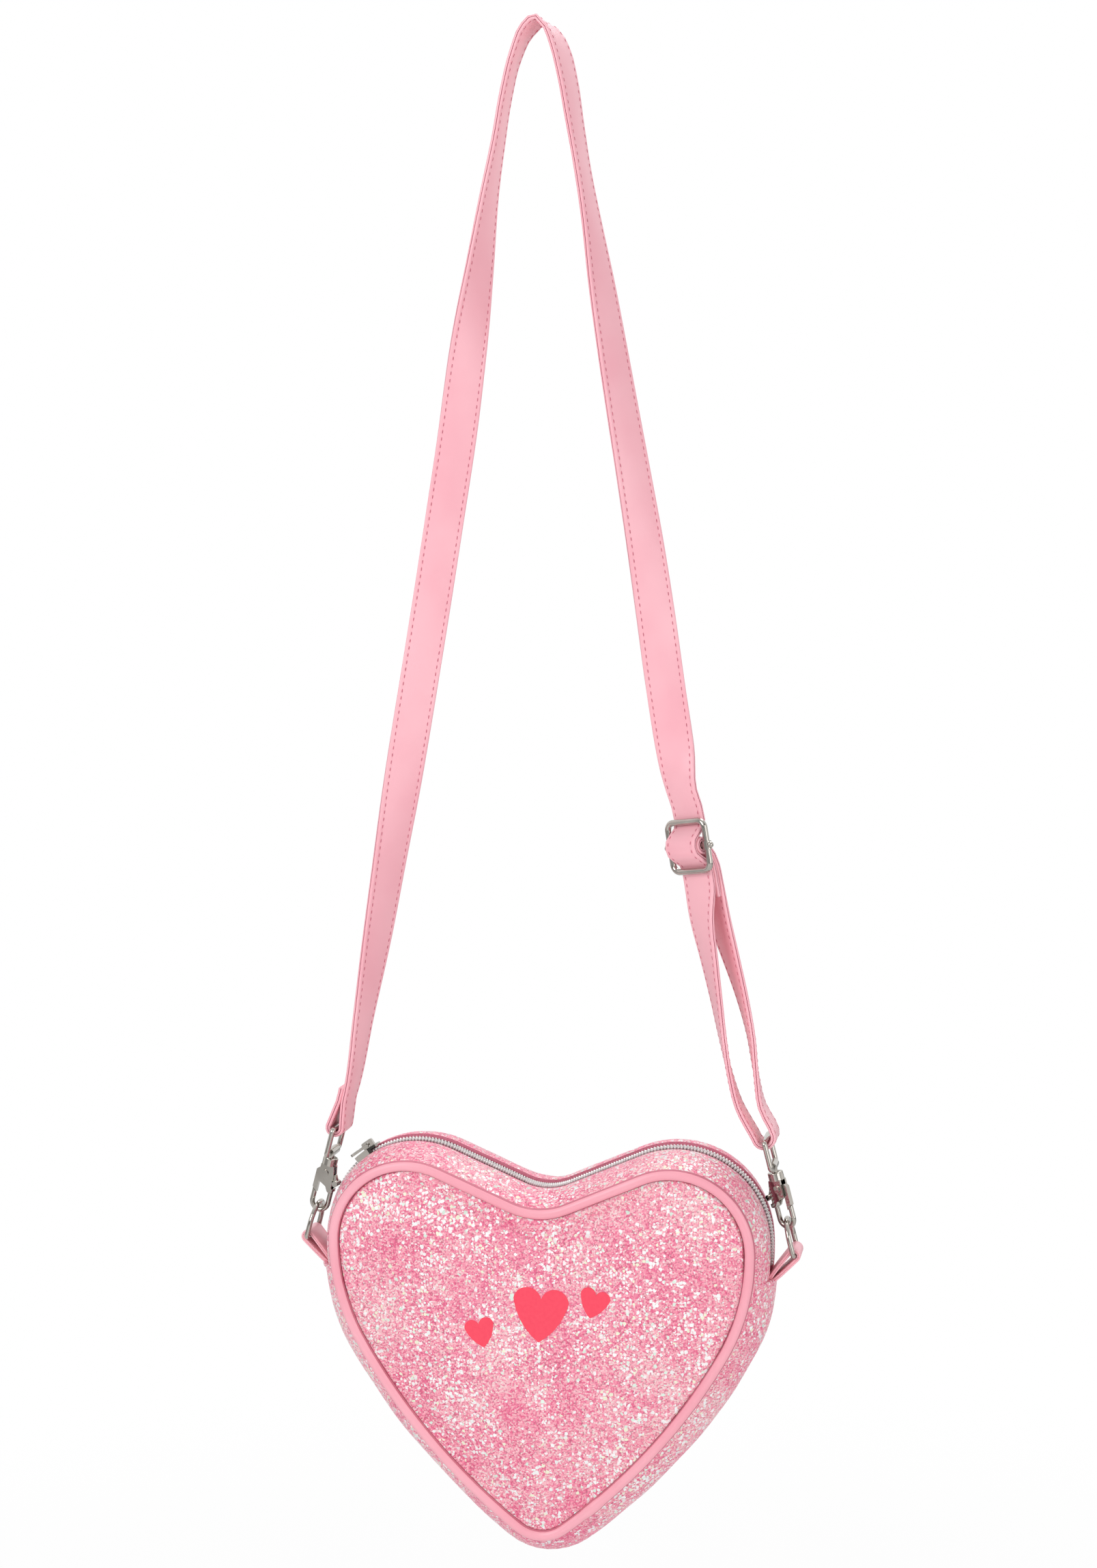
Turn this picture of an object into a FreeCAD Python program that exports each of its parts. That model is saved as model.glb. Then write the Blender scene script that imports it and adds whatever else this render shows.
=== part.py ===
import FreeCAD, Part
import math
import os

# A heart shaped purse that hangs from its long strap.
# Millimetres. The origin is the point where the strap hangs, +Z up, +X to the right of
# someone who faces the front of the bag, and the front faces -Y.

V = FreeCAD.Vector
os.makedirs("parts", exist_ok=True)

# Heart outline, measured at the centre line of the piping
DROP = 500.0             # from the hanging point down to the D ring bars
LOBE_LEVEL = 3.7         # lobe centres above the D ring bars
HALF_WIDTH = 86.4
LOBE_R = 31.6
CLEFT_DEPTH = 18.0
CLEFT_SHARE = 0.4933     # of the widest hollow that still meets both lobes
SHOULDER_R = 85.0
SHOULDER_ANGLE = 30.0
FLANK_R = 250.0
TIP_R = 15.5
SEAM_ANGLE = 8.8         # side seams, below the level of the lobe centres

# Bag walls
BAG_DEPTH = 46.0         # between the two piped seams
CROWN = 7.0              # how far each panel swells past its seam
CLOTH = 1.6              # glitter cloth with its backing
FOAM = 2.0
LINING = 0.5
GUSSET_BULGE = 7.5
GUSSET_EDGE = 1.1        # height of its sewn edges over the piping line
BAND_SLOPE = 0.32        # share of a zip band's rise that lies in its upper half
PIPING_R = 2.25
PIPING_CORD_R = 1.4
SEW_GAP = 0.12           # air left between pieces that are sewn together
APPLIQUE_T = 0.35
MOTIF_SIZE = 13.0
DISH_DROP = 28.0         # the crown's flat middle lies this far below the lobe centres

# Zipper
ZIP_MOUTH = 8.4          # between the two folded band edges
TAPE_WIDTH = 8.2
TAPE_T = 0.6
TAPE_SLIT = 1.6
TAPE_FALL = 1.1          # how far its sewn edge lies below its edge at the teeth
TAPE_LEVEL = 4.9         # height of the tape over the piping line
COIL_WIDTH = 2.25
COIL_HEIGHT = 2.05
COIL_PITCH = 2.0
COIL_PARTED = 0.75       # how far each row stands aside beyond the slider
SLIDER_ANGLE = 125.0     # where the slider stands on the left lobe
SLIDER_LENGTH = 9.0
SLIDER_WIDTH = 7.4
SLIDER_PLATE = 1.0
PULL_REACH = 9.0         # from its pin to its tip
PULL_WIDTH = 5.0
PULL_T = 1.1
PULL_PIN_R = 0.6

# Tabs and D rings
TAB_REACH = 8.6          # from the crest of the gusset out to the D ring bar
TAB_WIDTH = 14.0
TAB_T = 1.6
RING_WIRE_R = 1.05
RING_WIDTH = 17.0
RING_HEIGHT = 14.0
RING_FIT = 0.15
RING_BEND = 1.4

# Clasps
HOOK_INNER_R = 2.5
HOOK_WIRE_R = 1.05
HOOK_RISE = 6.2          # straight part of the hook above its bend
HOOK_FIT = 1.2
PLATE_T = 0.9
CAP_R = 3.2
CAP_H = 3.5
CAP_BASE = 16.5          # underside of the cap above the D ring wire
POST_R = 1.3
POST_FIT = 0.06
PIN_R = 0.9
PIN_HEIGHT = 13.0
LEVER_GAP = 0.2
KNOB_R = 1.2
KNOB_REACH = 5.4         # from the rivet to the thumb knob
KNOB_LENGTH = 5.2
BARREL_R = 1.9
BARREL_LENGTH = 10.0
LOOP_WIRE_R = 1.1
LOOP_WIDTH = 19.4
LOOP_BEND = 1.3
LOOP_RISE = 11.5         # loop's top bar above the barrel
LEFT_CLASP_TURN = -5.0
RIGHT_CLASP_TURN = -32.0
LEFT_TILT = 15.0         # lean of each clasp towards the hanging point
RIGHT_TILT = 14.0

# Strap and buckle
STRAP_WIDTH = 16.0
STRAP_T = 2.2
STRAP_FIT = 0.2
LEFT_FOLD_R = 2.9
RIGHT_FOLD_R = 5.0
BUCKLE_SIZE = 23.0
BUCKLE_WIRE_R = 1.3
BUCKLE_CORNER_R = 3.2
BUCKLE_BAR_R = 1.25
COLLAR_R = 1.9
COLLAR_LENGTH = 3.4
BAR_FIT = 0.12

# Places that follow from the sizes above
bar_z = -DROP
z_lobe = bar_z + LOBE_LEVEL
z_top = z_lobe + LOBE_R
x_lobe = HALF_WIDTH - LOBE_R
cleft_r = CLEFT_SHARE * ((x_lobe ** 2 + CLEFT_DEPTH ** 2) / (2 * CLEFT_DEPTH) - LOBE_R)
x_shoulder = HALF_WIDTH - SHOULDER_R
half_depth = BAG_DEPTH / 2.0
y_axis = V(0, 1, 0)


# The outline is a chain of arcs and lines, clockwise from the bottom of the cleft. An offset
# keeps every centre and changes only the radii, so all bands of the bag run parallel.
def polar(cx, cz, r, deg):
    return (cx + r * math.cos(math.radians(deg)), cz + r * math.sin(math.radians(deg)))


z_cleft = z_top - CLEFT_DEPTH + cleft_r
reach = math.hypot(x_lobe, z_cleft - z_lobe)
lean = math.degrees(math.acos((cleft_r + LOBE_R) / reach))
slope_angle = math.degrees(math.atan2(z_cleft - z_lobe, -x_lobe)) - lean
flank_offset = FLANK_R - SHOULDER_R
x_flank = x_shoulder - flank_offset * math.cos(math.radians(SHOULDER_ANGLE))
z_flank = z_lobe + flank_offset * math.sin(math.radians(SHOULDER_ANGLE))
z_tip = z_flank - math.sqrt((FLANK_R - TIP_R) ** 2 - x_flank ** 2)
tip_angle = math.degrees(math.atan2(z_tip - z_flank, -x_flank))

# Each entry of the right half: centre, radius, start and end angle, +1 convex or -1 hollow
CLEFT = (0.0, z_cleft, cleft_r, 270.0, 180.0 + slope_angle, -1)
LOBE = (x_lobe, z_lobe, LOBE_R, slope_angle, 0.0, 1)
UPPER_SHOULDER = (x_shoulder, z_lobe, SHOULDER_R, 0.0, -SEAM_ANGLE, 1)
LOWER_SHOULDER = (x_shoulder, z_lobe, SHOULDER_R, -SEAM_ANGLE, -SHOULDER_ANGLE, 1)
FLANK = (x_flank, z_flank, FLANK_R, -SHOULDER_ANGLE, tip_angle, 1)
TIP = (0.0, z_tip, TIP_R, tip_angle, -90.0, 1)


def mirrored(shape):
    return shape.mirror(V(0, 0, 0), V(1, 0, 0))


def swept_arc(arc, profile):
    # profile is a face drawn on (outward height, y); it turns about the arc's own centre
    cx, cz, r, a0, a1, sense = arc
    face = profile.copy()
    turn = a0
    if sense < 0:
        face = face.mirror(V(0, 0, 0), V(1, 0, 0))
    face.translate(V(r, 0, 0))
    face.rotate(V(0, 0, 0), y_axis, -turn)
    face.translate(V(cx, 0, cz))
    return face.revolve(V(cx, 0, cz), V(0, -1, 0), a1 - a0)


def swept_line(profile):
    # the straight run from the cleft up to the right lobe
    face = profile.copy()
    face.rotate(V(0, 0, 0), y_axis, -slope_angle)
    p = polar(0.0, z_cleft, cleft_r, 180.0 + slope_angle)
    q = polar(x_lobe, z_lobe, LOBE_R, slope_angle)
    face.translate(V(p[0], 0, p[1]))
    return face.extrude(V(q[0] - p[0], 0, q[1] - p[1]))


def joined(pieces):
    whole = pieces[0].multiFuse(pieces[1:]) if len(pieces) > 1 else pieces[0]
    return whole.removeSplitter()


def upper_band(profile):
    half = [swept_arc(CLEFT, profile), swept_line(profile), swept_arc(LOBE, profile),
            swept_arc(UPPER_SHOULDER, profile)]
    return joined(half + [mirrored(s) for s in half])


def lower_band(profile):
    half = [swept_arc(LOWER_SHOULDER, profile), swept_arc(FLANK, profile), swept_arc(TIP, profile)]
    return joined(half + [mirrored(s) for s in half])


def full_band(profile):
    arcs = [CLEFT, LOBE, UPPER_SHOULDER, LOWER_SHOULDER, FLANK, TIP]
    half = [swept_arc(a, profile) for a in arcs] + [swept_line(profile)]
    return joined(half + [mirrored(s) for s in half])


def polygon(points):
    return Part.Face(Part.makePolygon([V(a, b, 0) for a, b in points + points[:1]]))


def arc_strip(outer, wall):
    # a curved cloth section: an arc through three points and the same arc one wall lower
    inner = [(n - wall, y) for n, y in outer]
    edges = [Part.Arc(*[V(n, y, 0) for n, y in outer]).toShape(),
             Part.makeLine(V(*outer[2], 0), V(*inner[2], 0)),
             Part.Arc(*[V(n, y, 0) for n, y in reversed(inner)]).toShape(),
             Part.makeLine(V(*inner[0], 0), V(*outer[0], 0))]
    return Part.Face(Part.Wire(edges))


def disc(n, y, r):
    return Part.Face(Part.Wire(Part.makeCircle(r, V(n, y, 0))))


parts = {}

# Piped seams: a tube of thin material round a cord, all the way round the heart
for name, side in (("front", -1), ("back", 1)):
    y_seam = side * half_depth
    ring = disc(0, y_seam, PIPING_R).cut(disc(0, y_seam, PIPING_CORD_R))
    parts[name + "_piping"] = full_band(ring.Faces[0])
    parts[name + "_piping_cord"] = full_band(disc(0, y_seam, PIPING_CORD_R - SEW_GAP / 2))

# Gusset: one band round the tip, and two narrow bands that leave the zipper open on top
edge_y = half_depth - PIPING_R - SEW_GAP
edge_n = GUSSET_EDGE
bottom_outer = [(edge_n, -edge_y), (GUSSET_BULGE, 0.0), (edge_n, edge_y)]
parts["bottom_gusset"] = lower_band(arc_strip(bottom_outer, CLOTH))
lining_outer = [(n - CLOTH - SEW_GAP, y) for n, y in bottom_outer]
parts["gusset_lining"] = lower_band(arc_strip(lining_outer, LINING))

mouth = ZIP_MOUTH / 2.0
mouth_n = TAPE_LEVEL + TAPE_T + SEW_GAP + CLOTH
half_way = (edge_y + mouth) / 2
mid_n = mouth_n - (mouth_n - edge_n) * BAND_SLOPE
band_outer = [(edge_n, -edge_y), (mid_n, -half_way), (mouth_n, -mouth)]
front_band = arc_strip(band_outer, CLOTH)
parts["zip_gusset_front"] = upper_band(front_band)
parts["zip_gusset_rear"] = upper_band(front_band.mirror(V(0, 0, 0), V(0, 1, 0)))

# Zipper tapes, bands that lie under the folded edges and slope with them
slit = TAPE_SLIT / 2.0
tape_top = TAPE_LEVEL + TAPE_T
tape = polygon([(TAPE_LEVEL - TAPE_FALL, -slit - TAPE_WIDTH), (tape_top - TAPE_FALL, -slit - TAPE_WIDTH),
                (tape_top, -mouth), (tape_top, -slit), (TAPE_LEVEL, -slit), (TAPE_LEVEL, -mouth)])
parts["zipper_tape_front"] = upper_band(tape)
parts["zipper_tape_rear"] = upper_band(tape.mirror(V(0, 0, 0), V(0, 1, 0)))


# Zipper coils: two rows of teeth along the opening, half a pitch apart. Past the slider the
# rows stand aside, as they do where the zipper is open.
cleft_run = cleft_r * math.radians(slope_angle - 90.0)
line_start = polar(0.0, z_cleft, cleft_r, 180.0 + slope_angle)
line_end = polar(x_lobe, z_lobe, LOBE_R, slope_angle)
line_run = math.hypot(line_end[0] - line_start[0], line_end[1] - line_start[1])
lobe_run = LOBE_R * math.radians(slope_angle)
shoulder_run = SHOULDER_R * math.radians(SEAM_ANGLE)
half_run = cleft_run + line_run + lobe_run + shoulder_run


def along(s, n):
    # a place on the opening's line: s from the cleft, to the right if positive, n outward
    u = abs(s)
    if u < cleft_run:
        x, z = polar(0.0, z_cleft, cleft_r - n, 270.0 + math.degrees(u / cleft_r))
    elif u < cleft_run + line_run:
        f = (u - cleft_run) / line_run
        x = line_start[0] + f * (line_end[0] - line_start[0]) + n * math.cos(math.radians(slope_angle))
        z = line_start[1] + f * (line_end[1] - line_start[1]) + n * math.sin(math.radians(slope_angle))
    elif u < cleft_run + line_run + lobe_run:
        turned = math.degrees((u - cleft_run - line_run) / LOBE_R)
        x, z = polar(x_lobe, z_lobe, LOBE_R + n, slope_angle - turned)
    else:
        turned = math.degrees((u - cleft_run - line_run - lobe_run) / SHOULDER_R)
        x, z = polar(x_shoulder, z_lobe, SHOULDER_R + n, -turned)
    return V(math.copysign(x, s), 0, z)


coil_base = TAPE_LEVEL + TAPE_T + SEW_GAP / 2
coil_top = coil_base + COIL_HEIGHT
coil_root = coil_base + COIL_HEIGHT * 0.55
coil_stop = half_run - TAB_T - 1.6
slider_s = -(cleft_run + line_run + LOBE_R * math.radians(slope_angle - (180.0 - SLIDER_ANGLE)))


def coil_row(s0, s1, half_step, y):
    teeth = int((s1 - s0) / COIL_PITCH)
    pitch = (s1 - s0) / teeth
    tooth = ((0.0, coil_root), (0.28, coil_root), (0.42, coil_top), (0.86, coil_top))
    if half_step:
        tooth = ((0.0, coil_top), (0.36, coil_top), (0.5, coil_root), (0.78, coil_root))
    crest = [along(s0 + pitch * (i + f), n) for i in range(teeth) for f, n in tooth]
    crest.append(along(s1, tooth[0][1]))
    base = [along(s0 + pitch * i, coil_base) for i in range(teeth + 1)]
    ring = crest + base[::-1]
    face = Part.Face(Part.makePolygon(ring + ring[:1]))
    face.translate(V(0, y, 0))
    return face.extrude(V(0, COIL_WIDTH, 0))


for name, side in (("front", -1), ("rear", 1)):
    near = SEW_GAP / 2
    closed_y = near if side > 0 else -near - COIL_WIDTH
    closed = coil_row(slider_s, coil_stop, side > 0, closed_y)
    parted = coil_row(-coil_stop, slider_s, side > 0, closed_y + side * COIL_PARTED)
    parts["zipper_coil_" + name] = joined([closed, parted])

# Slider: two plates joined by a post that parts the rows, low side walls, and a bridge that
# carries the pull. It is drawn at the lobe's right and turned to its place on the left lobe.
RUN_FIT = 0.25
plate_low = LOBE_R + TAPE_LEVEL - RUN_FIT
plate_high = LOBE_R + coil_top + RUN_FIT
plate_top = plate_high + SLIDER_PLATE
half_turn = math.degrees(SLIDER_LENGTH / 2 / LOBE_R)
half_slider = SLIDER_WIDTH / 2


def lobe_block(r0, r1, y0, y1, a0, a1):
    face = polygon([(r0, y0), (r1, y0), (r1, y1), (r0, y1)])
    face.rotate(V(0, 0, 0), y_axis, -a0)
    return face.revolve(V(0, 0, 0), V(0, -1, 0), a1 - a0)


wall_low = LOBE_R + TAPE_LEVEL + TAPE_T + RUN_FIT
slider = [lobe_block(plate_high, plate_top, -half_slider, half_slider, -half_turn, half_turn),
          lobe_block(plate_low - SLIDER_PLATE, plate_low, -half_slider, half_slider, -half_turn, half_turn),
          lobe_block(plate_low, plate_high, -0.5, 0.5, half_turn * 0.35, half_turn * 0.9)]
for side in (-1, 1):
    inner = side * (half_slider - 0.5)
    slider.append(lobe_block(wall_low, plate_high, min(inner, side * half_slider),
                             max(inner, side * half_slider), -half_turn * 0.8, half_turn))
shield = Part.Face(Part.makePolygon([V(0, y, z) for y, z in (
    (-half_slider * 0.62, -SLIDER_LENGTH), (half_slider * 0.62, -SLIDER_LENGTH),
    (half_slider * 0.62, -SLIDER_LENGTH * 0.5), (half_slider, -SLIDER_LENGTH * 0.1),
    (half_slider, SLIDER_LENGTH), (-half_slider, SLIDER_LENGTH),
    (-half_slider, -SLIDER_LENGTH * 0.1), (-half_slider * 0.62, -SLIDER_LENGTH * 0.5),
    (-half_slider * 0.62, -SLIDER_LENGTH))]))
slider = joined(slider).common(shield.extrude(V(LOBE_R * 2, 0, 0)))
bridge_x = plate_top + PULL_PIN_R + 2 * RUN_FIT
bridge_z = -1.5
bridge_h = bridge_x + PULL_PIN_R + RUN_FIT + 0.9
bridge = Part.makeBox(bridge_h - plate_high, 1.8, 5.2, V(plate_high, -0.9, bridge_z - 2.6))
bridge = bridge.makeFillet(0.8, [e for e in bridge.Edges if e.CenterOfMass.x > bridge_h - 0.1
                                 and abs(e.CenterOfMass.y) < 0.1])
hole = Part.makeCylinder(PULL_PIN_R + RUN_FIT, 4, V(bridge_x, -2, bridge_z), y_axis)
slider = slider.fuse(bridge).cut(hole).removeSplitter()

# Pull: a slim tag with two arms and the cross pin that passes under the bridge
arm_in = 0.9 + RUN_FIT
tag = Part.makeBox(PULL_T, PULL_WIDTH, PULL_REACH - 4.0, V(bridge_x - PULL_T / 2, -PULL_WIDTH / 2, bridge_z + 4.0))
tag = tag.makeFillet(PULL_WIDTH * 0.42, [e for e in tag.Edges if e.CenterOfMass.z > bridge_z + PULL_REACH - 0.1
                                         and abs(e.CenterOfMass.x - bridge_x) < 0.01])
eye = Part.makeCylinder(0.9, PULL_T + 1, V(bridge_x - PULL_T, 0, bridge_z + PULL_REACH - 2.6), V(1, 0, 0))
pull = [tag.cut(eye), Part.makeCylinder(PULL_PIN_R, 2 * arm_in, V(bridge_x, -arm_in, bridge_z), y_axis)]
for side in (-1, 1):
    y0 = min(side * arm_in, side * PULL_WIDTH / 2)
    arm = Part.makeBox(PULL_T, PULL_WIDTH / 2 - arm_in, 4.2, V(bridge_x - PULL_T / 2, y0, bridge_z))
    end = Part.makeCylinder(PULL_T / 2, PULL_WIDTH / 2 - arm_in, V(bridge_x, y0, bridge_z), y_axis)
    pull += [arm, end]
pull = joined(pull)
for name, shape in (("zip_slider", slider), ("zip_pull", pull)):
    shape.rotate(V(0, 0, 0), y_axis, -SLIDER_ANGLE)
    shape.translate(V(-x_lobe, 0, z_lobe))
    parts[name] = shape


# Panels: a softly crowned heart in three layers, cloth, foam and lining, each one layer lower
def heart_wire(inset, scale, y):
    def place(x, z):
        return V(x * scale, y, z_lobe + (z - z_lobe) * scale - (1.0 - scale) * DISH_DROP)

    def arc_points(arc, a0, a1):
        cx, cz, r, _, _, sense = arc
        r = r - inset * sense
        return [polar(cx, cz, r, a) for a in (a0, (a0 + a1) / 2, a1)]

    right = [arc_points(LOBE, LOBE[3], LOBE[4]),
             arc_points(UPPER_SHOULDER, 0.0, -SHOULDER_ANGLE),
             arc_points(FLANK, FLANK[3], FLANK[4])]
    cleft = arc_points(CLEFT, 540.0 - CLEFT[4], CLEFT[4])
    tip = arc_points(TIP, tip_angle, -180.0 - tip_angle)
    left = [[(-x, z) for x, z in reversed(c)] for c in reversed(right)]
    edges = [Part.Arc(*[place(*q) for q in cleft]).toShape(),
             Part.makeLine(place(*cleft[2]), place(*right[0][0]))]
    edges += [Part.Arc(*[place(*q) for q in c]).toShape() for c in right + [tip] + left]
    edges.append(Part.makeLine(place(*left[2][2]), place(*cleft[0])))
    return Part.Wire(edges)


panel_inset = PIPING_R + SEW_GAP
levels = ((1.0, 0.0), (0.93, 0.5), (0.8, 0.84), (0.55, 1.0))


def dome(side, sink):
    wires = [heart_wire(panel_inset, k, side * (half_depth + f * CROWN - sink)) for k, f in levels]
    return Part.makeLoft(wires, True, False)


for name, side in (("front", -1), ("back", 1)):
    depth = 0.0
    for layer, wall in (("panel", CLOTH), ("stiffener", FOAM), ("lining", LINING)):
        parts[name + "_" + layer] = dome(side, depth).cut(dome(side, depth + wall))
        depth += wall + SEW_GAP / 2


# Front motif: three plain hearts of thin vinyl on the flat middle of the front panel
def small_heart(size, cx, cz, tilt):
    half = [((0.0, 0.42), (0.44, 0.76), (0.88, 0.38)), ((0.88, 0.38), (0.62, -0.30), (0.0, -0.95))]
    curves = half + [tuple((-x, z) for x, z in reversed(c)) for c in reversed(half)]
    edges = [Part.Arc(*[V(x * size, 0, z * size) for x, z in c]).toShape() for c in curves]
    face = Part.Face(Part.Wire(edges))
    face.rotate(V(0, 0, 0), y_axis, -tilt)
    face.translate(V(cx, -half_depth - CROWN, cz))
    return face.extrude(V(0, -APPLIQUE_T, 0))


z_mid = z_lobe - DISH_DROP
motif = ((1.0, 0.15, 0.23, -4.0), (0.54, -1.77, -0.46, 14.0), (0.54, 1.85, 0.62, -16.0))
parts["front_applique"] = Part.makeCompound(
    [small_heart(MOTIF_SIZE * k, MOTIF_SIZE * x, z_mid + MOTIF_SIZE * z, tilt) for k, x, z, tilt in motif])


# Round wire bent in the XZ or YZ plane: straight runs joined by tangent bends
def bent_wire(points, radii, r, closed):
    pts = [V(*q) for q in points]
    count = len(pts)
    ends = []
    solids = []
    for i in range(count):
        here = pts[i]
        if not closed and i in (0, count - 1):
            ends.append((here, here))
            continue
        a = (pts[i - 1] - here).normalize()
        b = (pts[(i + 1) % count] - here).normalize()
        turn = math.pi - a.getAngle(b)
        trim = radii[i] * math.tan(turn / 2)
        p = here + a * trim
        q = here + b * trim
        ends.append((p, q))
        centre = here + (a + b).normalize() * (radii[i] / math.cos(turn / 2))
        axis = (p - centre).cross(q - centre).normalize()
        face = Part.Face(Part.Wire(Part.makeCircle(r, p, a)))
        solids.append(face.revolve(centre, axis, math.degrees(turn)))
    for i in range(count if closed else count - 1):
        p = ends[i][1]
        q = ends[(i + 1) % count][0]
        if (q - p).Length > 0.01:
            solids.append(Part.makeCylinder(r, (q - p).Length, p, q - p))
    return joined(solids)


# Tabs and D rings, drawn on the right: the tab's tongue lies in the side seam
bar_x = HALF_WIDTH + GUSSET_BULGE + TAB_REACH
eye_r = RING_WIRE_R + RING_FIT
root_r = SHOULDER_R + GUSSET_BULGE
root = polar(x_shoulder, z_lobe, root_r + 0.4, -SEAM_ANGLE)
tongue_end = polar(x_shoulder, z_lobe, SHOULDER_R + GUSSET_BULGE - CLOTH, -SEAM_ANGLE)


def strip_face(p, q, w0, w1):
    dx, dz = q[0] - p[0], q[1] - p[1]
    size = math.hypot(dx, dz)
    nx, nz = -dz / size, dx / size
    corners = [(p[0] + nx * w0, p[1] + nz * w0), (q[0] + nx * w1, q[1] + nz * w1),
               (q[0] - nx * w1, q[1] - nz * w1), (p[0] - nx * w0, p[1] - nz * w0)]
    return Part.Face(Part.makePolygon([V(x, 0, z) for x, z in corners + corners[:1]]))


def round_face(x, z, r):
    return Part.Face(Part.Wire(Part.makeCircle(r, V(x, 0, z), y_axis)))


bar = (bar_x, bar_z)
tab_face = round_face(bar_x, bar_z, eye_r + TAB_T).fuse(strip_face(bar, root, eye_r + TAB_T, TAB_T))
tab_face = tab_face.fuse(strip_face(root, tongue_end, TAB_T, TAB_T)).fuse(round_face(root[0], root[1], TAB_T))
slot_tip = (bar_x + (root[0] - bar_x) * 0.62, bar_z + (root[1] - bar_z) * 0.62)
tab_face = tab_face.cut(round_face(bar_x, bar_z, eye_r)).cut(strip_face(bar, slot_tip, eye_r, 0.15))
tab_face = tab_face.removeSplitter()
tab = joined([f.extrude(V(0, TAB_WIDTH, 0)) for f in tab_face.Faces])
tab.translate(V(0, -TAB_WIDTH / 2, 0))
for node in ("bottom_gusset", "zip_gusset_front", "zip_gusset_rear"):
    parts[node] = parts[node].cut(tab).cut(mirrored(tab))
parts["right_tab"] = tab
parts["left_tab"] = mirrored(tab)

half_ring = RING_WIDTH / 2
ring = bent_wire([(0, -half_ring, 0), (0, half_ring, 0), (0, half_ring, RING_HEIGHT), (0, -half_ring, RING_HEIGHT)],
                 [RING_BEND, RING_BEND, half_ring, half_ring], RING_WIRE_R, True)


# Clasps, drawn for the right side: the axis is Z, the D ring's wire crosses at the origin,
# the gate is outboard (+X) and the thumb knob inboard
o = V(0, 0, 0)
hook_z = HOOK_INNER_R - RING_WIRE_R - HOOK_FIT
hook_x = HOOK_INNER_R + HOOK_WIRE_R
hook_edge = hook_x + HOOK_WIRE_R
lever_half = 1.1
plate_in = lever_half + LEVER_GAP
plate_out = plate_in + PLATE_T
tip_low = hook_z + 3.2   # inner edge of the slanted joint between hook and gate
tip_rise = 2.0
pin_x = 0.3
barrel_z = CAP_BASE + CAP_H + BARREL_R + 0.7


def xz_prism(points, y0, y1):
    face = Part.Face(Part.makePolygon([V(x, y0, z) for x, z in points + points[:1]]))
    return face.extrude(V(0, y1 - y0, 0))


bend = Part.Face(Part.Wire(Part.makeCircle(HOOK_WIRE_R, V(-hook_x, 0, hook_z), V(0, 0, 1))))
bend = bend.revolve(V(0, 0, hook_z), V(0, -1, 0), 180)
back = Part.makeCylinder(HOOK_WIRE_R, HOOK_RISE, V(-hook_x, 0, hook_z))
tip = Part.makeCylinder(HOOK_WIRE_R, 6.0, V(hook_x, 0, hook_z))
above = xz_prism([(HOOK_INNER_R, tip_low), (hook_edge, tip_low + tip_rise), (hook_edge + 1, tip_low + tip_rise),
                  (hook_edge + 1, 12), (HOOK_INNER_R - 1, 12), (HOOK_INNER_R - 1, tip_low)], -3, 3)
block_x = HOOK_INNER_R - 0.1
block = Part.makeBox(hook_edge - block_x, 2 * plate_out, 1.9, V(-hook_edge, -plate_out, hook_z + HOOK_RISE - 1.2))
block = block.makeFillet(0.7, [e for e in block.Edges if e.CenterOfMass.z < hook_z + HOOK_RISE - 1.1])
cheek_z = hook_z + HOOK_RISE - 0.8
cheek = [(-hook_edge, cheek_z), (-block_x, cheek_z), (-1.2, cheek_z + 2.0), (3.0, cheek_z + 4.0),
         (CAP_R - 0.3, CAP_BASE + 0.2), (0.3 - CAP_R, CAP_BASE + 0.2), (-3.6, PIN_HEIGHT), (-3.7, cheek_z + 2.3)]
cap = Part.makeCylinder(CAP_R, CAP_H, V(0, 0, CAP_BASE))
cap = cap.makeFillet(0.6, [e for e in cap.Edges if e.CenterOfMass.z > CAP_BASE + CAP_H - 0.1])
body = joined([bend, back, tip.cut(above), block, cap, xz_prism(cheek, plate_in, plate_out),
               xz_prism(cheek, -plate_out, -plate_in)])
head_r = POST_R + 0.8
body = body.cut(Part.makeCylinder(head_r + POST_FIT * 2, 1.7, V(0, 0, CAP_BASE - 0.1)))
body = body.cut(Part.makeCylinder(POST_R + POST_FIT, CAP_H + 1, V(0, 0, CAP_BASE)))
body = body.cut(Part.makeCylinder(PIN_R + POST_FIT, 8, V(pin_x, -4, PIN_HEIGHT), y_axis))

GATE_GAP = 0.35
gate = [(HOOK_INNER_R, tip_low + GATE_GAP), (hook_edge, tip_low + tip_rise + GATE_GAP), (hook_edge, PIN_HEIGHT + 0.6),
        (hook_edge - 1, PIN_HEIGHT + 1.6), (pin_x, PIN_HEIGHT + 2.0), (pin_x, PIN_HEIGHT - 2.0),
        (HOOK_INNER_R, PIN_HEIGHT - 2.2)]
knob_x, knob_z = pin_x - KNOB_REACH, PIN_HEIGHT - 3.2
thumb = [(pin_x, PIN_HEIGHT + 2.0), (-1.8, PIN_HEIGHT + 0.4), (-4.2, PIN_HEIGHT + 0.2), (knob_x - 0.4, knob_z + 0.9),
         (knob_x + 0.6, knob_z - 0.8), (-3.0, PIN_HEIGHT - 2.7), (pin_x, PIN_HEIGHT - 2.0)]
lever = joined([xz_prism(gate, -lever_half, lever_half), xz_prism(thumb, -lever_half, lever_half),
                Part.makeCylinder(2.2, 2 * lever_half, V(pin_x, -lever_half, PIN_HEIGHT), y_axis),
                Part.makeCylinder(KNOB_R, KNOB_LENGTH, V(knob_x, -KNOB_LENGTH / 2, knob_z), y_axis)])
lever = lever.cut(Part.makeCylinder(PIN_R + POST_FIT, 8, V(pin_x, -4, PIN_HEIGHT), y_axis))

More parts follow.
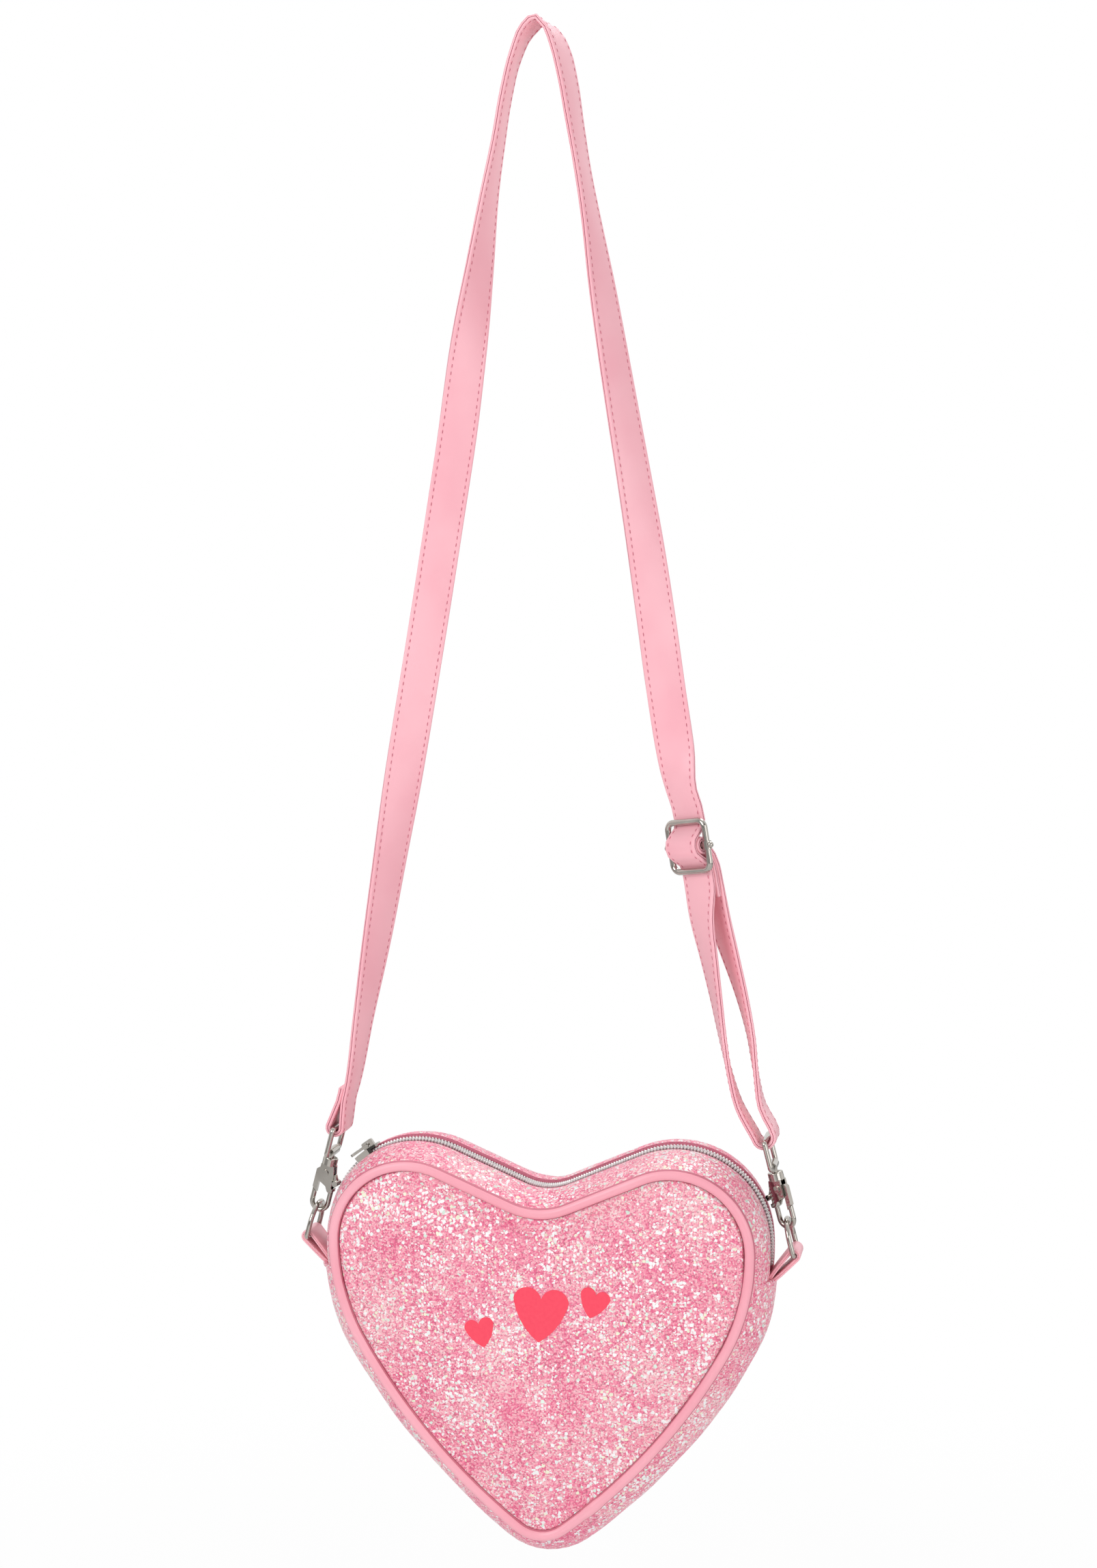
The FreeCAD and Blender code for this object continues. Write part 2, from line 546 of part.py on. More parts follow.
pin = Part.makeCylinder(PIN_R, 2 * plate_out + 0.2, V(pin_x, -plate_out - 0.1, PIN_HEIGHT), y_axis)
for side in (-1, 1):
    pin = pin.fuse(Part.makeCylinder(1.5, 0.5, V(pin_x, side * (plate_out + 0.05), PIN_HEIGHT), V(0, side, 0)))
pin = pin.removeSplitter()
spring_z = PIN_HEIGHT + 0.35
spring_h = CAP_BASE - 0.05 - spring_z
spring = Part.makeCylinder(0.75, spring_h, V(-3.0, 0, spring_z)).cut(
    Part.makeCylinder(0.45, spring_h, V(-3.0, 0, spring_z)))

stub = BARREL_LENGTH / 2 - 1.6
swivel = joined([Part.makeCylinder(BARREL_R, BARREL_LENGTH, V(0, -BARREL_LENGTH / 2, barrel_z), y_axis),
                 Part.makeCylinder(POST_R, barrel_z - CAP_BASE - 0.3, V(0, 0, CAP_BASE + 0.3)),
                 Part.makeCylinder(head_r, 1.1, V(0, 0, CAP_BASE + 0.25))])
for side in (-1, 1):
    swivel = swivel.cut(Part.makeCylinder(LOOP_WIRE_R + POST_FIT, BARREL_LENGTH, V(0, side * stub, barrel_z),
                                          V(0, side, 0)))
half_loop = LOOP_WIDTH / 2
loop_z = barrel_z + LOOP_RISE
end_y = stub + 0.1
loop = bent_wire([(0, -end_y, barrel_z), (0, -half_loop, barrel_z), (0, -half_loop, loop_z), (0, half_loop, loop_z),
                  (0, half_loop, barrel_z), (0, end_y, barrel_z)], [0] + [LOOP_BEND] * 4 + [0], LOOP_WIRE_R, False)


def hung(shape, side, turn, foot):
    # leans a piece along the pull of the strap, on the right or mirrored to the left
    s = shape.copy()
    lean_deg = RIGHT_TILT if side > 0 else LEFT_TILT
    s.rotate(o, V(0, 0, 1), turn if side > 0 else -turn)
    s.translate(V(0, 0, foot))
    s.rotate(o, y_axis, -lean_deg)
    s.translate(V(bar_x, 0, bar_z))
    return s if side > 0 else mirrored(s)


for name, side, turn in (("left", -1, LEFT_CLASP_TURN), ("right", 1, RIGHT_CLASP_TURN)):
    parts[name + "_d_ring"] = hung(ring, side, 0.0, 0.0)
    for piece, shape, angle in (("body", body, turn), ("lever", lever, turn), ("pin", pin, turn),
                                ("spring", spring, turn), ("swivel", swivel, 0.0), ("loop", loop, 0.0)):
        parts[name + "_clasp_" + piece] = hung(shape, side, angle, RING_HEIGHT)


# Buckle on the right strand: a rounded wire frame, and a bar whose collars hold the side rails.
# Its own axes: u across the strap, v down the strap, w out of the front.
ROUTE_SPAN = 102.5       # the route below is drawn for this span and drop
ROUTE_DROP = 500.0
spread_x = bar_x / ROUTE_SPAN
spread_z = DROP / ROUTE_DROP
BUCKLE_AT = V(59.4 * spread_x, 0.0, -334.0 * spread_z)
BUCKLE_TWIST = 125.0
v_dir = V(0.15, 0, -0.989).normalize()
u_dir = V(-math.sin(math.radians(BUCKLE_TWIST)), -math.cos(math.radians(BUCKLE_TWIST)), 0)
u_dir = (u_dir - v_dir * u_dir.dot(v_dir)).normalize()
w_dir = u_dir.cross(v_dir)
buckle_place = FreeCAD.Placement(FreeCAD.Matrix(u_dir.x, v_dir.x, w_dir.x, BUCKLE_AT.x,
                                                u_dir.y, v_dir.y, w_dir.y, BUCKLE_AT.y,
                                                u_dir.z, v_dir.z, w_dir.z, BUCKLE_AT.z, 0, 0, 0, 1))
rail = BUCKLE_SIZE / 2 - BUCKLE_WIRE_R
frame = bent_wire([(-rail, -rail, 0), (rail, -rail, 0), (rail, rail, 0), (-rail, rail, 0)],
                  [BUCKLE_CORNER_R] * 4, BUCKLE_WIRE_R, True)
rod = [Part.makeCylinder(BUCKLE_BAR_R, 2 * rail, V(-rail, 0, 0), V(1, 0, 0))]
for side in (-1, 1):
    rod.append(Part.makeCylinder(COLLAR_R, COLLAR_LENGTH, V(side * rail, -COLLAR_LENGTH / 2, 0), y_axis))
    rod.append(Part.makeSphere(COLLAR_R * 0.72, V(side * (rail + COLLAR_R * 0.9), 0, 0)))
rod = joined(rod)
for side in (-1, 1):
    rod = rod.cut(Part.makeCylinder(BUCKLE_WIRE_R + BAR_FIT, BUCKLE_SIZE, V(side * rail, -rail, 0), y_axis))
for name, shape in (("buckle_frame", frame), ("buckle_bar", rod)):
    shape.Placement = buckle_place.multiply(shape.Placement)
    parts[name] = shape

# Strap: one flat strip. Its route is a list of stations (x, y, z, twist), where the twist turns
# the strap's width from front-to-back (0) to side-to-side (90).
half_t = STRAP_T / 2
rest = half_t + STRAP_FIT


def clasp_axes(side):
    a = math.radians(RIGHT_TILT if side > 0 else LEFT_TILT)
    up = V(-side * math.sin(a), 0, math.cos(a))
    inboard = V(-side * math.cos(a), 0, -math.sin(a))
    return up, inboard, V(side * bar_x, 0, bar_z) + up * (RING_HEIGHT + loop_z)


def station(p, twist):
    return (p.x, p.y, p.z, twist)


def drawn(points):
    return [(x * spread_x, y, z * spread_z, twist) for x, y, z, twist in points]


up, inboard, bar_at = clasp_axes(-1)
fold = bar_at + up * (LEFT_FOLD_R - rest - LOOP_WIRE_R)
lay = half_t + STRAP_FIT
left_fold = [(inboard * -lay, 17.0), (inboard * -lay, 11.0), (inboard * (-lay - LEFT_FOLD_R) * 0.5, 5.5)]
route = [station(fold + side + up * h, 0.0) for side, h in left_fold]
for k in range(9):
    a = math.radians(22.5 * k)
    route.append(station(fold - inboard * (LEFT_FOLD_R * math.cos(a)) - up * (LEFT_FOLD_R * math.sin(a)), 0.0))
route += [station(fold - side + up * h, h * 0.25) for side, h in reversed(left_fold)]
left_strand = [(-78.8, 0, -407, 14), (-72.4, 0, -373, 31), (-66.0, 0, -337, 44), (-59.5, 0, -301, 64), (-53.2, 0, -266, 75),
          (-47.0, 0, -231, 77), (-41.4, 0, -198, 76), (-36.2, 0, -167, 72), (-31.0, 0, -131, 56), (-25.6, 0, -96, 28),
          (-21.1, 0, -66, 9), (-17.6, 0, -47, 2), (-14.2, 0, -28, 0), (-9.9, 0, -12, 0), (-5.2, 0, -2.6, 4)]
right_strand = [(4.6, 0, -2.6, 12), (8.2, 0, -10.0, 16), (11.2, 0, -22, 16), (14.1, 0, -40, 13),
          (17.2, 0, -59, 11), (20.8, 0, -80, 16), (24.9, 0, -106, 29), (28.9, 0, -131, 37), (33.0, 0, -156, 43),
          (37.2, 0, -181, 49), (41.6, 0, -208, 58), (46.1, 0, -239, 69), (50.0, 0, -268, 80), (53.9, 0, -294, 98)]
route += drawn(left_strand) + [(0, 0, half_t, 8)] + drawn(right_strand)
behind = -BUCKLE_WIRE_R - rest
eye = BUCKLE_BAR_R + rest
over = eye + half_t + rest
low = behind - 0.25
weave = [(-23.0, -0.8), (-16.0, low + 0.4), (-rail, low), (-rail * 0.7, low * 0.56)]
weave += [(over * math.sin(math.radians(k)), over * math.cos(math.radians(k))) for k in (-65, -32.5, 0, 32.5, 65)]
weave += [(rail * 0.7, low * 0.56), (rail, low), (16.0, low - 0.1)]
route += [station(BUCKLE_AT + v_dir * v + w_dir * w, BUCKLE_TWIST) for v, w in weave]
front = [(64.6, 0.6, -364, 140), (67.5, 0.2, -380, 151), (70.3, 0, -396, 160), (72.9, 0, -412, 167), (75.8, 0, -427, 173),
         (79.6, 0, -440, 178)]
front = drawn(front)
route += front
up, inboard, bar_at = clasp_axes(1)
fold = bar_at + up * (RIGHT_FOLD_R - rest - LOOP_WIRE_R)
for k in range(9):
    a = math.radians(22.5 * k)
    route.append(station(fold + inboard * (RIGHT_FOLD_R * math.cos(a)) - up * (RIGHT_FOLD_R * math.sin(a)), 180.0))
for (x, y, z, twist), spread in zip(reversed(front), (11.0, 12.6, 12.6, 11.0, 9.6, 8.2)):
    a = math.radians(twist)
    route.append((x - spread * math.cos(a), y + spread * math.sin(a), z, twist))
layer = STRAP_T + STRAP_FIT + 0.1
rear = low - 2 * layer
back_up = [(15.0, rear - 0.1), (9.0, rear + 0.4), (4.6, rear + 1.8), (1.4, -eye - 1.4)]
route += [station(BUCKLE_AT + v_dir * v + w_dir * w, BUCKLE_TWIST) for v, w in back_up]
for k in range(9):
    a = math.radians(5.0 + 32.5 * k)
    route.append(station(BUCKLE_AT - w_dir * (eye * math.cos(a)) - v_dir * (eye * math.sin(a)), BUCKLE_TWIST))
flap = [(eye + 0.35, -eye * 0.63), (4.6, low - layer + 1.75), (9.0, low - layer + 0.2), (15.5, low - layer),
        (22.0, low - layer - 0.2)]
route += [station(BUCKLE_AT + v_dir * v + w_dir * w, BUCKLE_TWIST) for v, w in flap]


def smooth(points, step):
    # a curve through the stations, with stations added where they lie far apart
    result = []
    for i in range(len(points) - 1):
        p = [points[max(i - 1, 0)], points[i], points[i + 1], points[min(i + 2, len(points) - 1)]]
        gap = math.dist(p[1][:3], p[2][:3])
        before = max(math.dist(p[0][:3], p[1][:3]), 0.2 * gap)
        after = max(math.dist(p[2][:3], p[3][:3]), 0.2 * gap)
        count = max(1, round(gap / step))
        for j in range(count):
            f = j / count
            h = (2 * f ** 3 - 3 * f ** 2 + 1, f ** 3 - 2 * f ** 2 + f, 3 * f ** 2 - 2 * f ** 3, f ** 3 - f ** 2)
            row = []
            for a, b, c, d in zip(*p):
                m0 = gap * ((c - b) / gap * before + (b - a) / before * gap) / (before + gap)
                m1 = gap * ((d - c) / after * gap + (c - b) / gap * after) / (after + gap)
                row.append(h[0] * b + h[1] * m0 + h[2] * c + h[3] * m1)
            result.append(row)
    result.append(list(points[-1]))
    return result


stations = smooth(route, 13.0)
sections = []
for i, (x, y, z, twist) in enumerate(stations):
    here = V(x, y, z)
    ahead = V(*stations[min(i + 1, len(stations) - 1)][:3])
    behind_it = V(*stations[max(i - 1, 0)][:3])
    along_it = (ahead - here).normalize() if i + 1 < len(stations) else (here - behind_it).normalize()
    if 0 < i < len(stations) - 1:
        along_it = (along_it + (here - behind_it).normalize()).normalize()
    a = math.radians(twist)
    across = V(math.sin(a), math.cos(a), 0)
    if x > 0:
        across = across - v_dir * across.dot(v_dir)
    across = (across - along_it * across.dot(along_it)).normalize() * (STRAP_WIDTH / 2)
    out = along_it.cross(across).normalize() * half_t
    ring_pts = [here - across - out, here + across - out, here + across + out, here - across + out]
    sections.append(Part.makePolygon(ring_pts + ring_pts[:1]))
strap = Part.makeLoft(sections, True, True)
parts["shoulder_strap"] = strap
strap_length = sum(math.dist(p[:3], q[:3]) for p, q in zip(stations, stations[1:]))
print("strap length", round(strap_length, 1), "volume over section", round(strap.Volume / STRAP_WIDTH / STRAP_T, 1))

for node, shape in parts.items():
    shape.exportStep("parts/" + node + ".step")
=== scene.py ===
import math

import bmesh
import bpy
from mathutils import Matrix, Vector, noise


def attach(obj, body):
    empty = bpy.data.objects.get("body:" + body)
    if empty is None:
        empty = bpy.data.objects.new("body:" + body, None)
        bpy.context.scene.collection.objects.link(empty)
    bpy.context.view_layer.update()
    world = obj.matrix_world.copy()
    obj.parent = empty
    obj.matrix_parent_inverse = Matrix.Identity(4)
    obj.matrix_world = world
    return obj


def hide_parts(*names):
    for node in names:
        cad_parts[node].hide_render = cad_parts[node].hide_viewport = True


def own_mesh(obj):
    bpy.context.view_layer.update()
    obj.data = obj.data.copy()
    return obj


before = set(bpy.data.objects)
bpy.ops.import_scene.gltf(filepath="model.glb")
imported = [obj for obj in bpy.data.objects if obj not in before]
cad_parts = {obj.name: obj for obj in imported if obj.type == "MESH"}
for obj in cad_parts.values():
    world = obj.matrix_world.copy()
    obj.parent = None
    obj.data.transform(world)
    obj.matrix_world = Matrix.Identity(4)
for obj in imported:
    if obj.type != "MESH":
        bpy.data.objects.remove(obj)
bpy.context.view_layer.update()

# Studio: a white room with a pale floor below the hanging bag and three large soft lamps.
# The camera stands a metre away, a little to the right, level with the middle of the strap.
MM = 0.001
scene = bpy.context.scene
scene.view_settings.view_transform = "Standard"


def hex_colour(text):
    # sRGB hex to the linear values that shader sockets take
    parts = [int(text[i:i + 2], 16) / 255 for i in (1, 3, 5)]
    return [c / 12.92 if c <= 0.04045 else ((c + 0.055) / 1.055) ** 2.4 for c in parts] + [1.0]


def add_node(tree, kind, inputs=None, **settings):
    # one shader node with its settings; an input is a number, a hex colour or another node's output
    node = tree.nodes.new("ShaderNode" + kind)
    for name, value in settings.items():
        setattr(node, name, value)
    for socket, value in (inputs or {}).items():
        if isinstance(value, bpy.types.NodeSocket):
            tree.links.new(value, node.inputs[socket])
        else:
            node.inputs[socket].default_value = hex_colour(value) if isinstance(value, str) else value
    return node


def new_material(name):
    # an empty material, its node tree, and the place on the object that its patterns follow
    material = bpy.data.materials.new(name)
    material.use_nodes = True
    tree = material.node_tree
    tree.nodes.clear()
    return material, tree, add_node(tree, "TexCoord").outputs["Object"]


white_room = bpy.data.worlds.new("white_room")
scene.world = white_room
white_room.use_nodes = True
tree = white_room.node_tree
tree.nodes.clear()
path = add_node(tree, "LightPath")
mirrored_ray = add_node(tree, "Math", {
    0: path.outputs["Is Glossy Ray"], 1: path.outputs["Is Transmission Ray"]}, operation="MAXIMUM")
# mirrors show the white backdrop, and a dim studio where the photographer stands beside a tall strip light
heading = add_node(tree, "TexCoord")
heading = add_node(tree, "SeparateXYZ", {0: heading.outputs["Generated"]})
studio = add_node(tree, "MapRange", {
    "Value": heading.outputs["Y"], "From Min": -0.8, "From Max": 0.05, "To Min": 0.1, "To Max": 1.0})
aside = add_node(tree, "Math", {0: heading.outputs["X"]}, operation="ABSOLUTE")
strip = add_node(tree, "MapRange", {
    "Value": aside.outputs[0], "From Min": 0.14, "From Max": 0.3, "To Min": 1.0, "To Max": 0.0})
studio = add_node(tree, "Math", {0: studio.outputs[0], 1: strip.outputs[0]}, operation="MAXIMUM")
mirrored = add_node(tree, "Mix", {"Factor": mirrored_ray.outputs[0], 2: 0.46, 3: studio.outputs[0]})
strength = add_node(tree, "Mix", {"Factor": path.outputs["Is Camera Ray"], 2: mirrored.outputs[0], 3: 1.0})
sky = add_node(tree, "Background", {"Color": "#FFFFFF", "Strength": strength.outputs[0]})
add_node(tree, "OutputWorld", {"Surface": sky.outputs[0]})

FLOOR_DROP = 760.0
floor_bm = bmesh.new()
bmesh.ops.create_grid(floor_bm, x_segments=1, y_segments=1, size=6.0,
                      matrix=Matrix.Translation((0, 0, -FLOOR_DROP * MM)))
floor_mesh = bpy.data.meshes.new("studio_floor")
floor_bm.to_mesh(floor_mesh)
floor_bm.free()
studio_floor = bpy.data.objects.new("studio_floor", floor_mesh)
scene.collection.objects.link(studio_floor)
# Pale matt floor that stays white to the eye and still takes the soft shadow of the bag
floor_paint, tree, place = new_material("matt_white_floor")
path = add_node(tree, "LightPath")
away = add_node(tree, "VectorMath", {0: place, 1: (0.0, 0.0, FLOOR_DROP * MM)}, operation="ADD")
away = add_node(tree, "VectorMath", {0: away.outputs[0]}, operation="LENGTH")
fade = add_node(tree, "MapRange", {
    "Value": away.outputs["Value"], "From Min": 0.15, "From Max": 0.7, "To Min": 0.9, "To Max": 1.0},
    interpolation_type="SMOOTHSTEP")
share = add_node(tree, "Math", {0: path.outputs["Is Camera Ray"], 1: fade.outputs[0]}, operation="MULTIPLY")
matt = add_node(tree, "BsdfDiffuse", {"Color": "#F4F4F4"})
glow = add_node(tree, "Emission", {"Color": "#FFFFFF", "Strength": 1.0})
both = add_node(tree, "MixShader", {0: share.outputs[0], 1: matt.outputs[0], 2: glow.outputs[0]})
add_node(tree, "OutputMaterial", {"Surface": both.outputs[0]})
floor_mesh.materials.append(floor_paint)

for name, place, aim, size, watts in (("key_lamp", (-0.75, -1.15, 0.25), (0, 0, -0.42), 0.8, 9.0),
                                      ("fill_lamp", (1.0, -0.9, -0.15), (0, 0, -0.42), 0.9, 5.0),
                                      ("top_lamp", (0.1, 0.5, 0.75), (0, 0, -0.4), 0.8, 7.0)):
    lamp = bpy.data.lights.new(name, "AREA")
    lamp.size = size
    lamp.energy = watts
    lamp_object = bpy.data.objects.new(name, lamp)
    lamp_object.location = place
    lamp_object.rotation_euler = (Vector(aim) - Vector(place)).to_track_quat("-Z", "Y").to_euler()
    scene.collection.objects.link(lamp_object)

AZIMUTH = math.radians(10.84)
ELEVATION = math.radians(3.42)
ROLL = math.radians(-0.44)
CAMERA_AWAY = 992.26
LENS = 55.27
look_at = Vector((1.23, 0.0, -308.64)) * MM
level = math.cos(ELEVATION)
back = Vector((math.sin(AZIMUTH) * level, -math.cos(AZIMUTH) * level, math.sin(ELEVATION)))
right = Vector((math.cos(AZIMUTH), math.sin(AZIMUTH), 0.0))
over = back.cross(right)
right, over = (right * math.cos(ROLL) + over * math.sin(ROLL), over * math.cos(ROLL) - right * math.sin(ROLL))
lens = bpy.data.cameras.new("camera")
lens.lens = LENS
lens.sensor_width = 36.0
camera = bpy.data.objects.new("camera", lens)
turn = Matrix((right, over, back)).transposed().to_4x4()
camera.matrix_world = Matrix.Translation(look_at + back * (CAMERA_AWAY * MM)) @ turn
scene.collection.objects.link(camera)
scene.camera = camera

# Strap: two layers of leather-like vinyl glued and stitched along both edges, 16 mm wide and 2.2 mm thick.
# It hangs folded from its middle; the left end folds round its clasp loop, the right end runs through the
# buckle, round the right clasp loop and back up to the buckle's bar.
STRAP_WIDTH = 16.0
STRAP_T = 2.2
STITCH_PITCH = 3.0
STITCH_INSET = 1.7
BAR_X = 102.5
BAR_Z = -500.0
LOOP_BAR = 48.1          # from the D ring bar up to the clasp loop's bar
LOOP_WIRE_R = 1.1
LEFT_TILT = 15.0         # how far each clasp leans inwards
RIGHT_TILT = 14.0
LEFT_FOLD_R = 2.9
RIGHT_FOLD_R = 4.0
STRAP_AIR = 0.2
PLAIT_AIR = 0.3          # between two layers of strap in the buckle
BUCKLE_AT = Vector((59.4, 0.0, -334.0))
BUCKLE_TWIST = 125.0
BUCKLE_BAR_R = 1.25
RAIL_R = 1.3
RAIL_AIR = 0.25


def clasp_axes(side, tilt):
    a = math.radians(tilt)
    up = Vector((-side * math.sin(a), 0, math.cos(a)))
    inboard = Vector((-side * math.cos(a), 0, -math.sin(a)))
    return up, inboard, Vector((side * BAR_X, 0, BAR_Z)) + up * LOOP_BAR


def station(p, twist):
    return (p.x, p.y, p.z, twist)


rest = STRAP_T / 2 + STRAP_AIR
up, inboard, loop_bar = clasp_axes(-1, LEFT_TILT)
fold = loop_bar + up * (LEFT_FOLD_R - rest - LOOP_WIRE_R)
left_fold = [(-1.3, 17.0), (-1.3, 11.0), (-2.1, 5.5)]
strap_route = [station(fold + inboard * n + up * h, 0.0) for n, h in left_fold]
for k in range(9):
    a = math.radians(22.5 * k)
    bend = inboard * (LEFT_FOLD_R * math.cos(a))
    strap_route.append(station(fold - bend - up * (LEFT_FOLD_R * math.sin(a)), 0.0))
strap_route += [station(fold - inboard * n + up * h, h * 0.25) for n, h in reversed(left_fold)]
strap_route += [(-78.8, 0, -407, 14), (-72.4, 0, -373, 31), (-66.0, 0, -337, 44), (-59.5, 0, -301, 64),
                (-53.2, 0, -266, 75), (-47.0, 0, -231, 77), (-41.4, 0, -198, 76), (-36.2, 0, -167, 72),
                (-31.0, 0, -131, 56), (-25.6, 0, -96, 28), (-21.1, 0, -66, 9), (-17.6, 0, -47, 2),
                (-14.2, 0, -28, 0), (-9.9, 0, -12, 0), (-5.2, 0, -2.6, 4), (0, 0, STRAP_T / 2, 8),
                (4.6, 0, -2.6, 12), (8.2, 0, -10.0, 16), (11.2, 0, -22, 16), (14.1, 0, -40, 13),
                (17.2, 0, -59, 11), (20.8, 0, -80, 16), (24.9, 0, -106, 29), (28.9, 0, -131, 37),
                (33.0, 0, -156, 43), (37.2, 0, -181, 49), (41.6, 0, -208, 58), (46.1, 0, -239, 69),
                (50.0, 0, -268, 80), (53.9, 0, -294, 98)]
down = Vector((0.15, 0, -0.989)).normalized()
wide = Vector((-math.sin(math.radians(BUCKLE_TWIST)), -math.cos(math.radians(BUCKLE_TWIST)), 0))
wide = (wide - down * wide.dot(down)).normalized()
front = wide.cross(down)
RAIL = 10.2
eye = BUCKLE_BAR_R + rest
crest = eye + STRAP_T / 2 + rest
low = -RAIL_R - rest - RAIL_AIR
weave = [(-23.0, -0.8), (-16.0, low + 0.4), (-RAIL, low), (-RAIL * 0.7, low * 0.56)]
for k in (-65, -32.5, 0, 32.5, 65):
    weave.append((crest * math.sin(math.radians(k)), crest * math.cos(math.radians(k))))
weave += [(RAIL * 0.7, low * 0.56), (RAIL, low), (16.0, low - 0.1)]
strap_route += [station(BUCKLE_AT + down * v + front * w, BUCKLE_TWIST) for v, w in weave]
front_strand = [(64.6, 0.6, -364, 140), (67.5, 0.2, -380, 151), (70.3, 0, -396, 160), (72.9, 0, -412, 167),
                (75.8, 0, -427, 173), (79.6, 0, -440, 178)]
strap_route += front_strand
up, inboard, loop_bar = clasp_axes(1, RIGHT_TILT)
fold = loop_bar + up * (RIGHT_FOLD_R - rest - LOOP_WIRE_R)
for k in range(9):
    a = math.radians(22.5 * k)
    bend = inboard * (RIGHT_FOLD_R * math.cos(a))
    strap_route.append(station(fold + bend - up * (RIGHT_FOLD_R * math.sin(a)), 180.0))
for (x, y, z, twist), spread in zip(reversed(front_strand), (9.4, 10.8, 11.8, 11.0, 9.6, 8.2)):
    a = math.radians(twist)
    strap_route.append((x - spread * math.cos(a), y + spread * math.sin(a), z, twist))
layer = STRAP_T + PLAIT_AIR
rear = low - 2 * layer
back_up = [(15.0, rear - 0.1), (9.0, rear + 0.4), (4.6, rear + 1.8), (1.4, -eye - 1.4)]
strap_route += [station(BUCKLE_AT + down * v + front * w, BUCKLE_TWIST) for v, w in back_up]
for k in range(9):
    a = math.radians(5.0 + 32.5 * k)
    turned = BUCKLE_AT - front * (eye * math.cos(a)) - down * (eye * math.sin(a))
    strap_route.append(station(turned, BUCKLE_TWIST))
flap = [(eye + 0.35, -eye * 0.63), (4.6, low - layer + 1.75), (9.0, low - layer + 0.2), (15.5, low - layer),
        (22.0, low - layer - 0.2)]
strap_route += [station(BUCKLE_AT + down * v + front * w, BUCKLE_TWIST) for v, w in flap]


def smooth_route(points, step):
    # a curve through the stations, with stations added where they lie far apart
    result = []
    for i in range(len(points) - 1):
        p = [points[max(i - 1, 0)], points[i], points[i + 1], points[min(i + 2, len(points) - 1)]]
        gap = math.dist(p[1][:3], p[2][:3])
        before = max(math.dist(p[0][:3], p[1][:3]), 0.2 * gap)
        after = max(math.dist(p[2][:3], p[3][:3]), 0.2 * gap)
        count = max(1, round(gap / step))
        for j in range(count):
            f = j / count
            h = (2 * f ** 3 - 3 * f ** 2 + 1, f ** 3 - 2 * f ** 2 + f,
                 3 * f ** 2 - 2 * f ** 3, f ** 3 - f ** 2)
            row = []
            for a, b, c, d in zip(*p):
                m0 = gap * ((c - b) / gap * before + (b - a) / before * gap) / (before + gap)
                m1 = gap * ((d - c) / after * gap + (c - b) / gap * after) / (after + gap)
                row.append(h[0] * b + h[1] * m0 + h[2] * c + h[3] * m1)
            result.append(row)
    result.append(list(points[-1]))
    return result


def strap_frames(points):
    # at each station: first axis across the strap, second out of its face, third along it
    frames = []
    last = len(points) - 1
    for i, (x, y, z, twist) in enumerate(points):
        ahead = Vector(points[min(i + 1, last)][:3]) - Vector(points[max(i - 1, 0)][:3])
        ahead.normalize()
        a = math.radians(twist)
        across = Vector((math.sin(a), math.cos(a), 0))
        if x > 0:
            across -= down * across.dot(down)
        across = (across - ahead * across.dot(ahead)).normalized()
        turn = Matrix((across, ahead.cross(across), ahead)).transposed().to_4x4()
        frames.append(Matrix.Translation(Vector((x, y, z)) * MM) @ turn)
    return frames


def extrude_on(bm, edges):
    # the points and edges of the new row
    grown = bmesh.ops.extrude_edge_only(bm, edges=edges)["geom"]
    verts = [g for g in grown if isinstance(g, bmesh.types.BMVert)]
    fresh = set(verts)
    return verts, [g for g in grown if isinstance(g, bmesh.types.BMEdge) and fresh.issuperset(g.verts)]


def sweep(section, frames, ring=True, loop=False):
    # section(i) gives points in millimetres on frame i's first two axes, extruded from frame to frame
    bm = bmesh.new()
    corner = bm.verts.layers.int.new("corner")
    verts = []
    for k, (a, b) in enumerate(section(0)):
        verts.append(bm.verts.new(frames[0] @ Vector((a * MM, b * MM, 0.0))))
        verts[k][corner] = k
    ends = verts[1:] + verts[:1] if ring else verts[1:]
    edges = [bm.edges.new(pair) for pair in zip(verts, ends)]
    first = edges
    for i in range(1, len(frames)):
        verts, edges = extrude_on(bm, edges)
        points = section(i)
        for v in verts:
            a, b = points[v[corner]]
            v.co = frames[i] @ Vector((a * MM, b * MM, 0.0))
    if loop:
        bmesh.ops.bridge_loops(bm, edges=first + edges)
    elif ring:
        bmesh.ops.edgeloop_fill(bm, edges=first)
        bmesh.ops.edgeloop_fill(bm, edges=edges)
    bmesh.ops.recalc_face_normals(bm, faces=bm.faces)
    return bm


def add_piece(name, bm, body, slot, *materials):
    # a finished piece at the origin, smooth shaded, riding on its body
    mesh = bpy.data.meshes.new(name)
    bm.to_mesh(mesh)
    bm.free()
    mesh.shade_smooth()
    mesh.set_sharp_from_angle(angle=math.radians(50.0))
    for material in materials:
        mesh.materials.append(material)
    piece = bpy.data.objects.new(name, mesh)
    scene.collection.objects.link(piece)
    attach(piece, body)
    return piece


